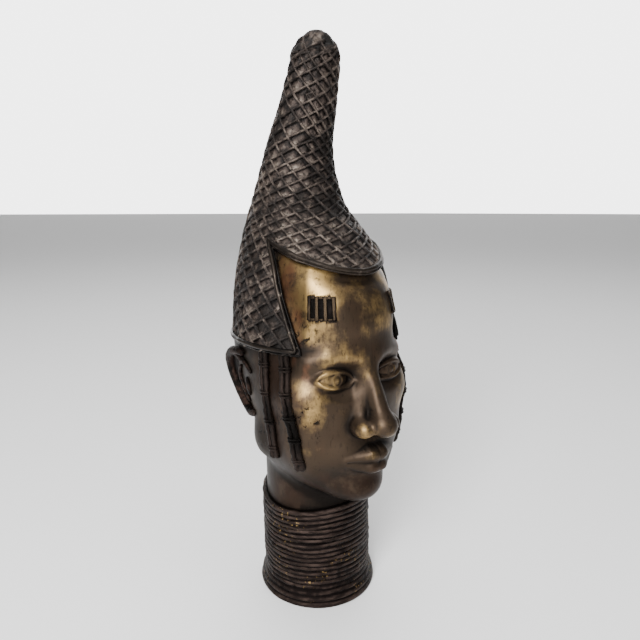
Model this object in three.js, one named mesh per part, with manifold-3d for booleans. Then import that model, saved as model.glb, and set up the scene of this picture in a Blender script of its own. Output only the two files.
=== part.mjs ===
import * as THREE from "three";
import { mergeVertices } from "three/addons/utils/BufferGeometryUtils.js";
import Module from "manifold-3d";

const wasm = await Module();
wasm.setup();

// A cast bronze head of a queen mother with a tall curved cap, in millimetres.
// The face looks along -Y and +Z is up. The origin is the middle of the flat underside.

// Driving sizes of the whole
const HEIGHT = 424;
const COLLAR_HEIGHT = 79;
const COLLAR_RADIUS = 42.6;
const COLLAR_LEAN = 0.04;
const RING_PITCH = 4;
const RING_RELIEF = 1.5;
const BASE_BAND_HEIGHT = 10;
const BASE_BAND_FLARE = 4.6;
const NECK_RADIUS = 39.5;

// Face: equal thirds from chin to hairline, and an eye's width taken from a fifth of the face
const CHIN_Z = 94;
const FACE_HEIGHT = 162;
const FACE_WIDTH = 114;
const THIRD = FACE_HEIGHT / 3;
const NOSE_Z = CHIN_Z + THIRD;
const BROW_Z = CHIN_Z + 2 * THIRD;
const EYE_Z = BROW_Z - 0.27 * THIRD;
const MOUTH_Z = NOSE_Z - THIRD / 3;
const EYE_WIDTH = (FACE_WIDTH / 5) * 1.16;
const EYE_X = FACE_WIDTH / 5 + 1.5;
const MOUTH_HALF = 21.5;

// Cap: its hem, the edges that frame the face, and the lattice of raised ribs
const HEM_Z = 204;
const CAP_PROUD = 4.6;
const UNDER_CAP = 3.2;
const VISOR_FRONT_Z = 259;
const VISOR_CORNER_Z = 278;
const VISOR_CORNER_ANGLE = 63;
const FLAP_HEM_ANGLE = 42;
const VISOR_FLARE = 1.8;
const RIM_RADIUS = 2.1;
const LATTICE_COLUMNS = 18;
const LATTICE_ROWS = 27;
const LATTICE_RELIEF = 1.6;
const DOME_HEIGHT = 22;
const DOME_LEAN = 3;

// Dress on the skin: bars on the forehead, strands before the ears, and the ears
const MARK_WIDTH = 19;
const MARK_HEIGHT = 15.5;
const MARK_Z = 236.5;
const MARK_ANGLE = 30.5;
const MARK_BARS = 4;
const MARK_RELIEF = 1.4;
const STRAND_RADIUS = 3.6;
const STRAND_TIES = 4;
const EAR_TOP_Z = 197.5;
const EAR_LOBE_Z = 148.5;
const EAR_ANGLE = 104;
const EAR_SPREAD = 22;
const EAR_ROOT_ANGLE = 98;
const EAR_LIFT = 5.2;
const EAR_ROLL = 3.9;

// Seams between joined forms are tidied to this tolerance
const SEAM_TOLERANCE = 0.25;

const UP = new THREE.Vector3(0, 0, 1);
const ACROSS = new THREE.Vector3(1, 0, 0);
const radians = THREE.MathUtils.degToRad;

// Smooth union and smooth intersection of two distances, rounded over the length k
function join(a, b, k) {
  const h = Math.min(Math.max(0.5 + (0.5 * (b - a)) / k, 0), 1);
  return b * (1 - h) + a * h - k * h * (1 - h);
}

function common(a, b, k) {
  return -join(-a, -b, k);
}

function ball(p, [cx, cy, cz], [rx, ry, rz]) {
  const x = (p.x - cx) / rx;
  const y = (p.y - cy) / ry;
  const z = (p.z - cz) / rz;
  const near = Math.hypot(x, y, z);
  return (near * (near - 1)) / Math.max(Math.hypot(x / rx, y / ry, z / rz), 1e-9);
}

function bar(p, [ax, ay, az], [bx, by, bz], startRadius, endRadius) {
  const dx = bx - ax;
  const dy = by - ay;
  const dz = bz - az;
  const along = (p.x - ax) * dx + (p.y - ay) * dy + (p.z - az) * dz;
  const t = Math.min(Math.max(along / (dx * dx + dy * dy + dz * dz), 0), 1);
  const off = Math.hypot(p.x - ax - t * dx, p.y - ay - t * dy, p.z - az - t * dz);
  return off - (startRadius + (endRadius - startRadius) * t);
}

// A smooth curve through points, level beyond its ends and without overshoot
function curveThrough(places, values) {
  const n = places.length;
  const steps = places.slice(1).map((x, i) => x - places[i]);
  const slopes = steps.map((h, i) => (values[i + 1] - values[i]) / h);
  const tangents = [slopes[0]];
  for (let i = 1; i < n - 1; i++) {
    const near = 2 * steps[i] + steps[i - 1];
    const far = steps[i] + 2 * steps[i - 1];
    const turns = slopes[i - 1] * slopes[i] <= 0;
    tangents.push(turns ? 0 : (near + far) / (near / slopes[i - 1] + far / slopes[i]));
  }
  tangents.push(slopes[n - 2]);
  return (at) => {
    const x = Math.min(Math.max(at, places[0]), places[n - 1]);
    let i = 0;
    while (i < n - 2 && x > places[i + 1]) i++;
    const h = steps[i];
    const t = (x - places[i]) / h;
    return (
      (2 * t ** 3 - 3 * t ** 2 + 1) * values[i] +
      (t ** 3 - 2 * t ** 2 + t) * h * tangents[i] +
      (3 * t ** 2 - 2 * t ** 3) * values[i + 1] +
      (t ** 3 - t ** 2) * h * tangents[i + 1]
    );
  };
}

// Cap outline at heights given as shares from the hem up to the foot of the dome
const DOME_Z = HEIGHT - DOME_HEIGHT;
const CAP_SHARES = [0, 0.16, 0.26, 0.385, 0.535, 0.712, 0.889, 1];
const capHeights = CAP_SHARES.map((share) => HEM_Z + share * (DOME_Z - HEM_Z));
const capFront = curveThrough(capHeights, [-66, -58, -54, -36, -9.5, -2, -10.5, -15.3]);
const capBack = curveThrough(capHeights, [76.5, 77.7, 74.5, 69.4, 63, 50.5, 31.5, 21.9]);
const capHalf = curveThrough(capHeights, [61, 57.2, 54.6, 47.4, 35, 26.3, 21.1, 18.6]);

function capSection(z) {
  const rise = Math.min(Math.max((z - DOME_Z) / DOME_HEIGHT, 0), 1);
  const shrink = Math.sqrt(Math.max(1 - rise ** 2, 1e-6));
  const front = capFront(z);
  const back = capBack(z);
  return {
    centre: (front + back) / 2 - DOME_LEAN * rise,
    depth: ((back - front) / 2) * shrink,
    width: capHalf(z) * shrink,
  };
}

function capGap(p) {
  const { centre, depth, width } = capSection(p.z);
  return (Math.hypot(p.x / width, (p.y - centre) / depth) - 1) * Math.min(width, depth);
}

// The bare head and neck as a distance, built up from the large masses to the small
const SKULL_Z = 203;

function cranium(p) {
  const skull = ball(p, [0, 9, SKULL_Z], [57.5, 71, p.z < SKULL_Z ? 80 : 88]);
  const underCap = common(capGap(p) + CAP_PROUD, 222 - p.z, 14);
  return join(skull, underCap, 7);
}

function faceMasses(p, d) {
  d = join(d, ball(p, [0, -12, 227], [45, 49, 41]), 14);
  d = join(d, ball(p, [0, -11, 157], [52, 54, 62]), 16);
  d = join(d, bar(p, [10, -43, 108], [37, 2, 130], 15, 14.5), 18);
  d = join(d, ball(p, [33, -34, 171], [18, 19, 15]), 18);
  d = join(d, ball(p, [27, -31, 138], [20, 22, 27]), 14);
  d = join(d, ball(p, [0, -55, CHIN_Z + 11], [16, 13, 12]), 10);
  return join(d, ball(p, [0, -50, MOUTH_Z + 3], [28, 20.5, 20]), 10);
}

function neck(p) {
  const across = p.x / NECK_RADIUS;
  const along = (p.y - COLLAR_LEAN * p.z) / (NECK_RADIUS + 0.5);
  return common((Math.hypot(across, along) - 1) * NECK_RADIUS, p.z - 175, 10);
}

function browsAndEyes(p, d) {
  d = join(d, bar(p, [6, -55, BROW_Z - 2], [36, -43, BROW_Z + 1], 7.2, 5), 14);
  d = common(d, -ball(p, [EYE_X - 0.5, -67, EYE_Z + 1], [18.5, 13.5, 11.5]), 7);
  return d;
}

function nose(p, d) {
  let form = bar(p, [0, -60.5, BROW_Z - 6], [0, -77, NOSE_Z + 13], 5, 6.8);
  form = join(form, ball(p, [0, -78.5, NOSE_Z + 9], [9.4, 10, 8]), 6);
  form = join(form, ball(p, [11.6, -70, NOSE_Z + 6.8], [7, 9.5, 6.6]), 3.6);
  form = join(form, bar(p, [2.5, -59.5, BROW_Z - 12], [9.5, -65, NOSE_Z + 10], 4.5, 6), 5);
  d = join(d, form, 4.5);
  return common(d, -ball(p, [6.8, -74.5, NOSE_Z + 1.4], [3.5, 5.4, 3]), 1.6);
}

function mouth(p, d) {
  d = common(d, -bar(p, [0, -76.5, NOSE_Z - 1], [0, -78.5, MOUTH_Z + 9], 1.7, 2.3), 2.4);
  let upper = bar(p, [4, -71, MOUTH_Z + 4.2], [MOUTH_HALF - 2.5, -62.6, MOUTH_Z + 1], 5.7, 3.6);
  upper = join(upper, ball(p, [0, -71.6, MOUTH_Z + 3.2], [5, 5, 4]), 3);
  let lower = bar(p, [4, -69.8, MOUTH_Z - 4.8], [MOUTH_HALF - 4, -62.4, MOUTH_Z - 2.2], 5.9, 3.7);
  lower = join(lower, ball(p, [0, -70.2, MOUTH_Z - 4.8], [8, 5.8, 5.4]), 3);
  d = join(join(d, upper, 1.6), lower, 1.6);
  const middle = bar(p, [0, -79, MOUTH_Z - 0.4], [9, -75.6, MOUTH_Z + 0.5], 1.4, 1.4);
  const corner = bar(p, [9, -75.6, MOUTH_Z + 0.5], [MOUTH_HALF - 1, -66, MOUTH_Z - 0.8], 1.4, 1);
  d = common(d, -Math.min(middle, corner), 1.5);
  return common(d, -bar(p, [0, -77.5, MOUTH_Z - 14.8], [12, -71.5, MOUTH_Z - 13.2], 4, 3.2), 5);
}

// How far inside the almond of an eye a point of the front view is
function insideEye(x, z) {
  const u = ((x - EYE_X) / EYE_WIDTH) * 2;
  const height = z - EYE_Z - 1.2 * u;
  const swell = Math.max(1 - Math.abs(u) ** 2.1, 0) ** 0.575;
  if (Math.abs(u) >= 1) return -Math.hypot(((Math.abs(u) - 1) * EYE_WIDTH) / 2, height);
  return Math.min(6.6 * swell - height, height + 5 * swell);
}

// Lids and pupils, raised forward from the eyeballs
function eyeRelief(x, z, y) {
  const inside = insideEye(x, z);
  const lid = 1.7 * Math.exp(-(((inside + 0.4) / 1.35) ** 2));
  const hollow = -0.9 * Math.min(Math.max((inside - 0.8) / 1.5, 0), 1);
  const pupil = inside > 0.6 ? 0.9 * Math.exp(-((Math.hypot(x - EYE_X, z - EYE_Z - 0.6) / 2.4) ** 2)) : 0;
  return (lid + hollow + pupil) * Math.min(Math.max((-y - 30) / 12, 0), 1);
}

function headDistance(x, y, z) {
  const side = Math.abs(x);
  const p = { x: side, y: y + eyeRelief(side, z, y), z };
  let d = faceMasses(p, cranium(p));
  d = join(d, neck(p), 7);
  d = browsAndEyes(p, d);
  d = nose(p, d);
  d = mouth(p, d);
  d = join(d, ball(p, [EYE_X, -48.2, EYE_Z], [14.2, 11.4, 10.4]), 2);
  const setBack = Math.min((z - HEM_Z) / 2 + 1.2, UNDER_CAP);
  if (setBack < -8) return d;
  const covered = common(d, capGap(p) + setBack, 2);
  return covered + (d - covered) * bareShare(Math.atan2(side, HEART.y - y), z);
}

// 1 on the skin that the cap leaves bare, falling to 0 toward the edge of the cap
function bareShare(angle, z) {
  const fromFlap = (flapAngle(z) - angle) / radians(26);
  const fromVisor = (visorZ(angle) - z - 3) / 12;
  const share = Math.min(Math.max(Math.min(fromFlap, fromVisor), 0), 1);
  return share * share * (3 - 2 * share);
}

// The last point of a ray that is still inside a form
function surfaceAlong(origin, direction, distance, reach = 150) {
  const STEP = 2;
  const at = (t) => distance(origin.x + direction.x * t, origin.y + direction.y * t, origin.z + direction.z * t);
  let low = 0;
  for (let t = STEP; t < reach; t += STEP) if (at(t) < 0) low = t;
  let high = low + STEP;
  for (let i = 0; i < 14; i++) {
    const middle = (low + high) / 2;
    if (at(middle) < 0) low = middle;
    else high = middle;
  }
  return origin.clone().addScaledVector(direction, low);
}

// Solids from a closed list of points and triangles, or from a three.js geometry
function solidFrom(geometry) {
  const bare = new THREE.BufferGeometry().setAttribute("position", geometry.getAttribute("position"));
  if (geometry.index) bare.setIndex(geometry.index);
  const merged = mergeVertices(bare, 1e-4);
  const made = new wasm.Manifold(
    new wasm.Mesh({
      numProp: 3,
      vertProperties: merged.getAttribute("position").array,
      triVerts: new Uint32Array(merged.index.array),
    }),
  );
  return made;
}

function solidFromPoints(points, triangles) {
  const geometry = new THREE.BufferGeometry().setFromPoints(points).setIndex(triangles.flat());
  return solidFrom(geometry);
}

// A skin over rings of points, lowest ring first, closed by a point at each end
function solidFromRings(rings, first, last) {
  const points = [...rings.flat(), first, last];
  const n = rings[0].length;
  const start = points.length - 2;
  const triangles = [];
  for (let i = 0; i < n; i++) {
    const next = (i + 1) % n;
    triangles.push([start, next, i]);
    for (let r = 0; r + 1 < rings.length; r++) {
      const a = r * n + i;
      const b = r * n + next;
      triangles.push([a, b, b + n], [a, b + n, a + n]);
    }
    const top = (rings.length - 1) * n;
    triangles.push([top + i, top + next, start + 1]);
  }
  return solidFromPoints(points, triangles);
}

function spread(from, to, count) {
  return Array.from({ length: count }, (_, i) => from + ((to - from) * i) / count);
}

// Head and neck: rays from inside the head, closest together over the face
const HEART = new THREE.Vector3(0, 4, 165);

function ray(azimuth, elevation) {
  const level = Math.cos(elevation);
  return new THREE.Vector3(Math.sin(azimuth) * level, -Math.cos(azimuth) * level, Math.sin(elevation));
}

function makeHead() {
  const half = [...spread(0, 24, 7), ...spread(24, 60, 7), ...spread(60, 100, 3), ...spread(100, 180, 3)];
  const azimuths = [...half.slice(1).reverse().map((a) => -a), ...half, 180].map(radians);
  const elevations = [...spread(-68, -50, 2), ...spread(-50, 28, 25), ...spread(28, 80, 3)].map(radians);
  const rings = elevations.map((e) => azimuths.map((a) => surfaceAlong(HEART, ray(a, e), headDistance)));
  const low = new THREE.Vector3(0, 0, COLLAR_HEIGHT / 2);
  const high = surfaceAlong(HEART, ray(0, Math.PI / 2), headDistance);
  return solidFromRings(rings, low, high);
}

// Collar: rings stacked on a flared band, their upper edge dipping at the sides
function makeCollar() {
  const SIDES = 20;
  const ringCount = Math.round((COLLAR_HEIGHT - BASE_BAND_HEIGHT) / RING_PITCH);
  const pitch = (COLLAR_HEIGHT - BASE_BAND_HEIGHT) / ringCount;
  const profile = [
    [COLLAR_RADIUS + BASE_BAND_FLARE - 1, 0],
    [COLLAR_RADIUS + BASE_BAND_FLARE, 2],
    [COLLAR_RADIUS + BASE_BAND_FLARE * 0.75, BASE_BAND_HEIGHT * 0.7],
    [COLLAR_RADIUS, BASE_BAND_HEIGHT],
  ];
  for (let i = 0; i < ringCount; i++) {
    const foot = BASE_BAND_HEIGHT + i * pitch;
    profile.push([COLLAR_RADIUS + RING_RELIEF, foot + pitch * 0.5], [COLLAR_RADIUS, foot + pitch]);
  }
  profile.push([NECK_RADIUS - 4, COLLAR_HEIGHT]);
  const rings = profile.map(([radius, z]) =>
    spread(0, 2 * Math.PI, SIDES).map((a) => {
      const lift = (3 * Math.cos(2 * a) - 2 * Math.cos(a)) * (z / COLLAR_HEIGHT);
      return new THREE.Vector3(radius * Math.sin(a), COLLAR_LEAN * z - radius * Math.cos(a), z + lift);
    }),
  );
  const middle = new THREE.Vector3(0, 0, 0);
  const top = new THREE.Vector3(0, COLLAR_LEAN * COLLAR_HEIGHT, COLLAR_HEIGHT);
  return solidFromRings(rings, middle, top);
}

// Cap: a point on its surface by the angle from the front and the share of its height
const LAST_CENTRE_Z = HEIGHT - 26;
const TOP_TILT = radians(22);
const LATTICE_FOOT = (2 * RIM_RADIUS) / (LAST_CENTRE_Z - HEM_Z);

function capPoint(angle, share, out = 0) {
  const z = HEM_Z + share * (LAST_CENTRE_Z - HEM_Z);
  const tilt = TOP_TILT * Math.max(share, 0) ** 3;
  const centre = new THREE.Vector3(0, capSection(z).centre, z);
  const direction = new THREE.Vector3(
    Math.sin(angle),
    -Math.cos(angle) * Math.cos(tilt),
    -Math.cos(angle) * Math.sin(tilt),
  );
  const point = surfaceAlong(centre, direction, (x, y, at) => capGap({ x, y, z: at }));
  return point.addScaledVector(direction, out + visorFlare(angle, z));
}

// The cap swells a little toward the edge of its visor
function visorFlare(angle, z) {
  const fromFront = Math.abs(Math.atan2(Math.sin(angle), Math.cos(angle)));
  const inside = (radians(VISOR_CORNER_ANGLE + 3) - fromFront) / 0.3;
  return VISOR_FLARE * Math.exp(-(((z - visorZ(fromFront)) / 9) ** 2)) * Math.min(Math.max(inside, 0), 1);
}

// Its lattice: ribs run between the crossings, and each cell sinks to a point in its middle
function makeCapShell() {
  const n = LATTICE_COLUMNS;
  const points = [];
  for (let row = 0; row <= LATTICE_ROWS; row++) {
    for (let i = 0; i < 2 * n; i++) {
      const crossing = (i + row) % 2 === 0;
      const angle = (i / n) * Math.PI;
      const share = LATTICE_FOOT + (1 - LATTICE_FOOT) * (row / LATTICE_ROWS);
      points.push(capPoint(angle, share, crossing ? 0 : -LATTICE_RELIEF));
    }
  }
  const at = (row, i) => row * 2 * n + ((i + 2 * n) % (2 * n));
  const triangles = [];
  for (let row = 0; row <= LATTICE_ROWS; row++) {
    for (let i = 0; i < 2 * n; i++) {
      if ((i + row) % 2 === 0) continue;
      if (row > 0) triangles.push([at(row - 1, i), at(row, i + 1), at(row, i)]);
      if (row > 0) triangles.push([at(row, i - 1), at(row - 1, i), at(row, i)]);
      if (row < LATTICE_ROWS) triangles.push([at(row, i + 1), at(row + 1, i), at(row, i)]);
      if (row < LATTICE_ROWS) triangles.push([at(row + 1, i), at(row, i - 1), at(row, i)]);
    }
  }
  closeShell(points, triangles, at);
  return solidFromPoints(points, triangles);
}

// A smooth dome over the last row, and the rolled hem and flat underside below the first
function closeShell(points, triangles, at) {
  const n = 2 * LATTICE_COLUMNS;
  const centre = new THREE.Vector3(0, capSection(LAST_CENTRE_Z).centre, LAST_CENTRE_Z);
  const pole = new THREE.Vector3(0, -DOME_LEAN, HEIGHT - LAST_CENTRE_Z).normalize();
  const gap = (x, y, z) => capGap({ x, y, z });
  const addRing = (ring, placeOf) => {
    const next = ring.map((_, i) => points.push(placeOf(i)) - 1);
    ring.forEach((a, i) => {
      const after = (i + 1) % n;
      triangles.push([a, ring[after], next[after]], [a, next[after], next[i]]);
    });
    return next;
  };
  let ring = Array.from({ length: n }, (_, i) => at(LATTICE_ROWS, i));
  for (const lift of [30, 60].map(radians)) {
    ring = addRing(ring, (i) => {
      const edge = points[at(LATTICE_ROWS, i)].clone().sub(centre).normalize();
      const direction = edge.multiplyScalar(Math.cos(lift)).addScaledVector(pole, Math.sin(lift));
      return surfaceAlong(centre, direction.normalize(), gap);
    });
  }
  const top = points.push(surfaceAlong(centre, pole, gap)) - 1;
  ring.forEach((a, i) => triangles.push([a, ring[(i + 1) % n], top]));

  let under = Array.from({ length: n }, (_, i) => at(0, n - i));
  for (const rise of [1.5, -0.2]) {
    under = addRing(under, (i) => capPlace(-(i / n) * 2 * Math.PI, HEM_Z + rise * RIM_RADIUS, RIM_RADIUS));
  }
  const middle = points.push(new THREE.Vector3(0, capSection(HEM_Z).centre, HEM_Z)) - 1;
  under.forEach((a, i) => triangles.push([a, under[(i + 1) % n], middle]));
}

// The opening for the face, bounded by the visor above and a flap on each side
function visorZ(angle) {
  const share = Math.abs(angle) / radians(VISOR_CORNER_ANGLE);
  return VISOR_FRONT_Z + (VISOR_CORNER_Z - VISOR_FRONT_Z) * share ** 1.6;
}

function flapAngle(z) {
  const share = (z - HEM_Z) / (VISOR_CORNER_Z - HEM_Z);
  return radians(FLAP_HEM_ANGLE + (VISOR_CORNER_ANGLE - FLAP_HEM_ANGLE) * share);
}

function openingPlace(across, up, floor) {
  let angle = across * radians(VISOR_CORNER_ANGLE);
  let z = floor;
  for (let i = 0; i < 12; i++) {
    z = floor + up * (visorZ(angle) - floor);
    angle = across * flapAngle(z);
  }
  return { angle, z };
}

function capPlace(angle, z, out = 0) {
  return capPoint(angle, (z - HEM_Z) / (LAST_CENTRE_Z - HEM_Z), out);
}

function makeOpening() {
  const ACROSS = 16;
  const UPWARD = 6;
  const points = [];
  for (const depth of [-30, 12]) {
    for (let v = 0; v <= UPWARD; v++) {
      for (let u = 0; u <= ACROSS; u++) {
        const { angle, z } = openingPlace((2 * u) / ACROSS - 1, v / UPWARD, HEM_Z - 6);
        points.push(capPlace(angle, z, depth));
      }
    }
  }
  const wide = ACROSS + 1;
  const sheet = wide * (UPWARD + 1);
  const triangles = [];
  const quad = (a, b, c, d) => triangles.push([a, b, c], [a, c, d]);
  for (let v = 0; v < UPWARD; v++) {
    for (let u = 0; u < ACROSS; u++) {
      const a = v * wide + u;
      quad(a, a + wide, a + wide + 1, a + 1);
      quad(sheet + a, sheet + a + 1, sheet + a + wide + 1, sheet + a + wide);
    }
    const left = v * wide;
    const right = left + ACROSS;
    quad(left, left + sheet, left + wide + sheet, left + wide);
    quad(right, right + wide, right + wide + sheet, right + sheet);
  }
  for (let u = 0; u < ACROSS; u++) {
    const top = UPWARD * wide + u;
    quad(u, u + 1, u + 1 + sheet, u + sheet);
    quad(top, top + sheet, top + 1 + sheet, top + 1);
  }
  return solidFromPoints(points, triangles);
}

// A round bar along a curve, its radius set by the share of its length.
// Its sections are squared up to an axis that the curve never runs along.
function makeRope(curve, steps, sides, radiusAt, axis) {
  const rings = [];
  for (let s = 0; s <= steps; s++) {
    const share = s / steps;
    const centre = curve.getPoint(share);
    const forward = curve.getTangent(share);
    const side = new THREE.Vector3().crossVectors(forward, axis).normalize();
    const other = new THREE.Vector3().crossVectors(forward, side);
    rings.push(
      spread(0, 2 * Math.PI, sides).map((a) =>
        centre
          .clone()
          .addScaledVector(side, radiusAt(share) * Math.cos(a))
          .addScaledVector(other, radiusAt(share) * Math.sin(a)),
      ),
    );
  }
  return solidFromRings(rings, curve.getPoint(0), curve.getPoint(1));
}

function rope(points, steps, sides, radiusAt, axis = ACROSS) {
  return makeRope(new THREE.CatmullRomCurve3(points), steps, sides, radiusAt, axis);
}

// Rolled edges round the opening: the visor and the two flap fronts
function makeRims() {
  const round = () => RIM_RADIUS;
  const corner = radians(VISOR_CORNER_ANGLE);
  const visor = spread(-corner, corner + 1e-6, 17).concat(corner).map((a) => capPlace(a, visorZ(a)));
  const rims = [rope(visor, 14, 5, round, UP)];
  for (const side of [-1, 1]) {
    const heights = spread(HEM_Z, VISOR_CORNER_Z, 8).concat(VISOR_CORNER_Z);
    rims.push(rope(heights.map((z) => capPlace(side * flapAngle(z), z)), 6, 5, round));
  }
  return rims;
}

// A place on the skin by its angle from the front and its height
function skinPlace(angle, z, out = 0) {
  const origin = new THREE.Vector3(0, HEART.y, z);
  const direction = ray(angle, 0);
  return surfaceAlong(origin, direction, headDistance).addScaledVector(direction, out);
}

// Strands of beads before the ears, tied at even steps
function makeStrand(side, topAngle, footAngle, footZ) {
  const places = [0, 0.45, 1].map((t) => {
    const z = HEM_Z + t * (footZ - HEM_Z);
    const angle = side * radians(topAngle + t * (footAngle - topAngle));
    return skinPlace(angle, z, STRAND_RADIUS * 0.3);
  });
  const radiusAt = (t) => {
    const nearest = Math.abs(((t * STRAND_TIES + 0.5) % 1) - 0.5) / STRAND_TIES;
    return STRAND_RADIUS * (0.85 + 0.3 * Math.exp(-((nearest * 20) ** 2)) + 0.35 * t ** 6);
  };
  return rope(places, 6, 4, radiusAt);
}

function makeStrands() {
  return [-1, 1].flatMap((side) => [
    makeStrand(side, 73, 65.5, 127),
    makeStrand(side, 55, 44, 124),
  ]);
}

// Raised bars over each brow
function makeMarks() {
  const bars = [];
  for (const side of [-1, 1]) {
    const middle = skinPlace(side * radians(MARK_ANGLE), MARK_Z);
    const above = skinPlace(side * radians(MARK_ANGLE), MARK_Z + 3);
    const beside = skinPlace(side * radians(MARK_ANGLE + 3), MARK_Z);
    const upward = above.sub(middle).normalize();
    const sideways = beside.sub(middle).normalize();
    const outward = new THREE.Vector3().crossVectors(sideways, upward).normalize();
    if (outward.y > 0) outward.negate();
    sideways.crossVectors(upward, outward).normalize();
    for (let i = 0; i < MARK_BARS; i++) {
      const width = MARK_WIDTH / (2 * MARK_BARS - 1);
      const shift = (2 * i + 1 - MARK_BARS) * width;
      const slab = new THREE.BoxGeometry(width, MARK_HEIGHT, 2 * MARK_RELIEF + 2);
      const frame = new THREE.Matrix4().makeBasis(sideways, upward, outward);
      frame.setPosition(middle.clone().addScaledVector(sideways, shift).addScaledVector(outward, -1));
      bars.push(solidFrom(slab.applyMatrix4(frame)));
    }
  }
  return bars;
}

// Ears: a roll round the back edge, a web from it to the head, and a fold from its top to the cheek.
// The turn along the roll runs from the top front, through the back at zero, to the lobe below.
function earPlace(turn) {
  const t = radians(turn);
  return {
    angle: EAR_ANGLE + EAR_SPREAD * Math.cos(t) * (1 + 0.12 * Math.sin(t)),
    z: (EAR_TOP_Z + EAR_LOBE_Z) / 2 + ((EAR_TOP_Z - EAR_LOBE_Z) / 2) * Math.sin(t),
    out: EAR_LIFT * Math.cos(0.78 * (t - radians(5))),
  };
}

function makeEarRoll(side) {
  const turns = spread(100, -115, 8).concat(-115);
  const path = turns.map((turn) => {
    const { angle, z, out } = earPlace(turn);
    return skinPlace(side * radians(angle), z, out);
  });
  const radiusAt = (share) => EAR_ROLL * (1 - 0.4 * (2 * share - 1) ** 4);
  return rope(path, 10, 5, radiusAt);
}

function makeEarWeb(side) {
  const STEPS = 6;
  const OVER = [0, 0.2, 0.42, 0.7, 1];
  const rings = [];
  for (let i = 0; i <= STEPS; i++) {
    const back = earPlace(80 - (165 * i) / STEPS);
    const place = (over, out) => {
      const angle = EAR_ROOT_ANGLE + over * (back.angle - EAR_ROOT_ANGLE);
      return skinPlace(side * radians(angle), back.z, out);
    };
    const sink = Math.sin((Math.PI * i) / STEPS);
    const rise = (over) => (back.out - 1) * over ** 1.6 - 1.6 * sink * Math.exp(-(((over - 0.42) / 0.22) ** 2));
    const outer = OVER.map((over) => place(over, rise(over)));
    const section = [...outer, place(0.96, -4), place(0.05, -4)];
    rings.push(side > 0 ? section : section.reverse());
  }
  const middle = (ring) => ring.reduce((sum, p) => sum.add(p), new THREE.Vector3()).divideScalar(ring.length);
  return solidFromRings(rings.reverse(), middle(rings[0]), middle(rings[STEPS]));
}

function makeEarFold(side) {
  const path = [0, 0.35, 0.7, 1].map((t) => {
    const angle = EAR_ROOT_ANGLE + 14 - 21 * t;
    return skinPlace(side * radians(angle), EAR_TOP_Z - 3 - 4 * t - 6 * t ** 3, 2 * (1 - t));
  });
  return rope(path, 4, 4, (share) => 2.6 - 0.8 * share);
}

function makeEar(side) {
  return [makeEarRoll(side), makeEarWeb(side), makeEarFold(side)];
}

// The casting: every part of it joined into one solid
function makeCasting() {
  const cap = makeCapShell().subtract(makeOpening());
  const ears = [...makeEar(-1), ...makeEar(1)];
  const parts = [makeCollar(), cap, ...makeRims(), ...makeStrands(), ...makeMarks(), ...ears];
  const whole = parts.reduce((joined, part) => joined.add(part), makeHead());
  return whole.simplify(SEAM_TOLERANCE);
}

function meshFrom(solid, name, material) {
  const { vertProperties, triVerts, numProp } = solid.getMesh();
  const positions = new Float32Array((vertProperties.length / numProp) * 3);
  for (let i = 0; i < positions.length / 3; i++) {
    positions.set(vertProperties.subarray(i * numProp, i * numProp + 3), i * 3);
  }
  const geometry = new THREE.BufferGeometry();
  geometry.setAttribute("position", new THREE.BufferAttribute(positions, 3));
  geometry.setIndex(new THREE.BufferAttribute(triVerts, 1));
  geometry.computeVertexNormals();
  const mesh = new THREE.Mesh(geometry, material);
  mesh.name = name;
  return mesh;
}

const bronze = new THREE.MeshStandardMaterial({ color: 0x5c4a36, roughness: 0.42, metalness: 0.9 });
const model = new THREE.Group();
model.add(meshFrom(makeCasting(), "bronze_head", bronze));

export default model;
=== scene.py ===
"""Looks of the cast bronze head: a fine skin over the solid, its patina, and a plain studio.

Forms are worked out in millimetres, as in the part's source, and turned into metres at the end.
The face looks along -Y and +Z is up.
"""

import math

import bpy
import numpy as np
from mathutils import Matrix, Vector


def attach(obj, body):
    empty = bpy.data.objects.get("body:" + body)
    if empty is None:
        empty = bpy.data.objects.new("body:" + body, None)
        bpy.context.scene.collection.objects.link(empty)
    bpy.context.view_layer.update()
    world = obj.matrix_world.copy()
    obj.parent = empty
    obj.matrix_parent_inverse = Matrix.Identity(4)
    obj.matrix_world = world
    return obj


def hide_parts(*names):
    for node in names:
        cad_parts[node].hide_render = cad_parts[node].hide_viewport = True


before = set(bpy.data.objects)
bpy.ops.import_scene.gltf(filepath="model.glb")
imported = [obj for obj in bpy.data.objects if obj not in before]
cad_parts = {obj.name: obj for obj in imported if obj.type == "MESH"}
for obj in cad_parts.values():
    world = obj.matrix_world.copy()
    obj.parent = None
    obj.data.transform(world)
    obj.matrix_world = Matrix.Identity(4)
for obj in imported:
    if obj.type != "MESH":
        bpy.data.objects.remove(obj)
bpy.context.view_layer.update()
METRES = 0.001

# Driving sizes, as in the part's source
HEIGHT = 424
COLLAR_HEIGHT = 79
COLLAR_RADIUS = 42.6
COLLAR_LEAN = 0.04
COLLAR_SIDES = 220
COLLAR_FOOT = 5.5
RING_PITCH = 3.8
RING_RELIEF = 1.5
BASE_FLARE_HEIGHT = 17
BASE_BAND_FLARE = 4.6
NECK_RADIUS = 39.5
CHIN_Z = 94
FACE_HEIGHT = 162
FACE_WIDTH = 114
THIRD = FACE_HEIGHT / 3
NOSE_Z = CHIN_Z + THIRD
BROW_Z = CHIN_Z + 2 * THIRD
EYE_Z = BROW_Z - 0.27 * THIRD
MOUTH_Z = NOSE_Z - THIRD / 3
EYE_WIDTH = FACE_WIDTH / 5 * 1.16
EYE_X = FACE_WIDTH / 5 + 1.5
MOUTH_HALF = 21.5
HEM_Z = 204
CAP_PROUD = 4.6
UNDER_CAP = 3.2
VISOR_FRONT_Z = 259
VISOR_CORNER_Z = 278
VISOR_CORNER_ANGLE = 63
VISOR_FLARE = 1.8
FLAP_HEM_ANGLE = 42
DOME_HEIGHT = 22
MARK_WIDTH = 19
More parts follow.
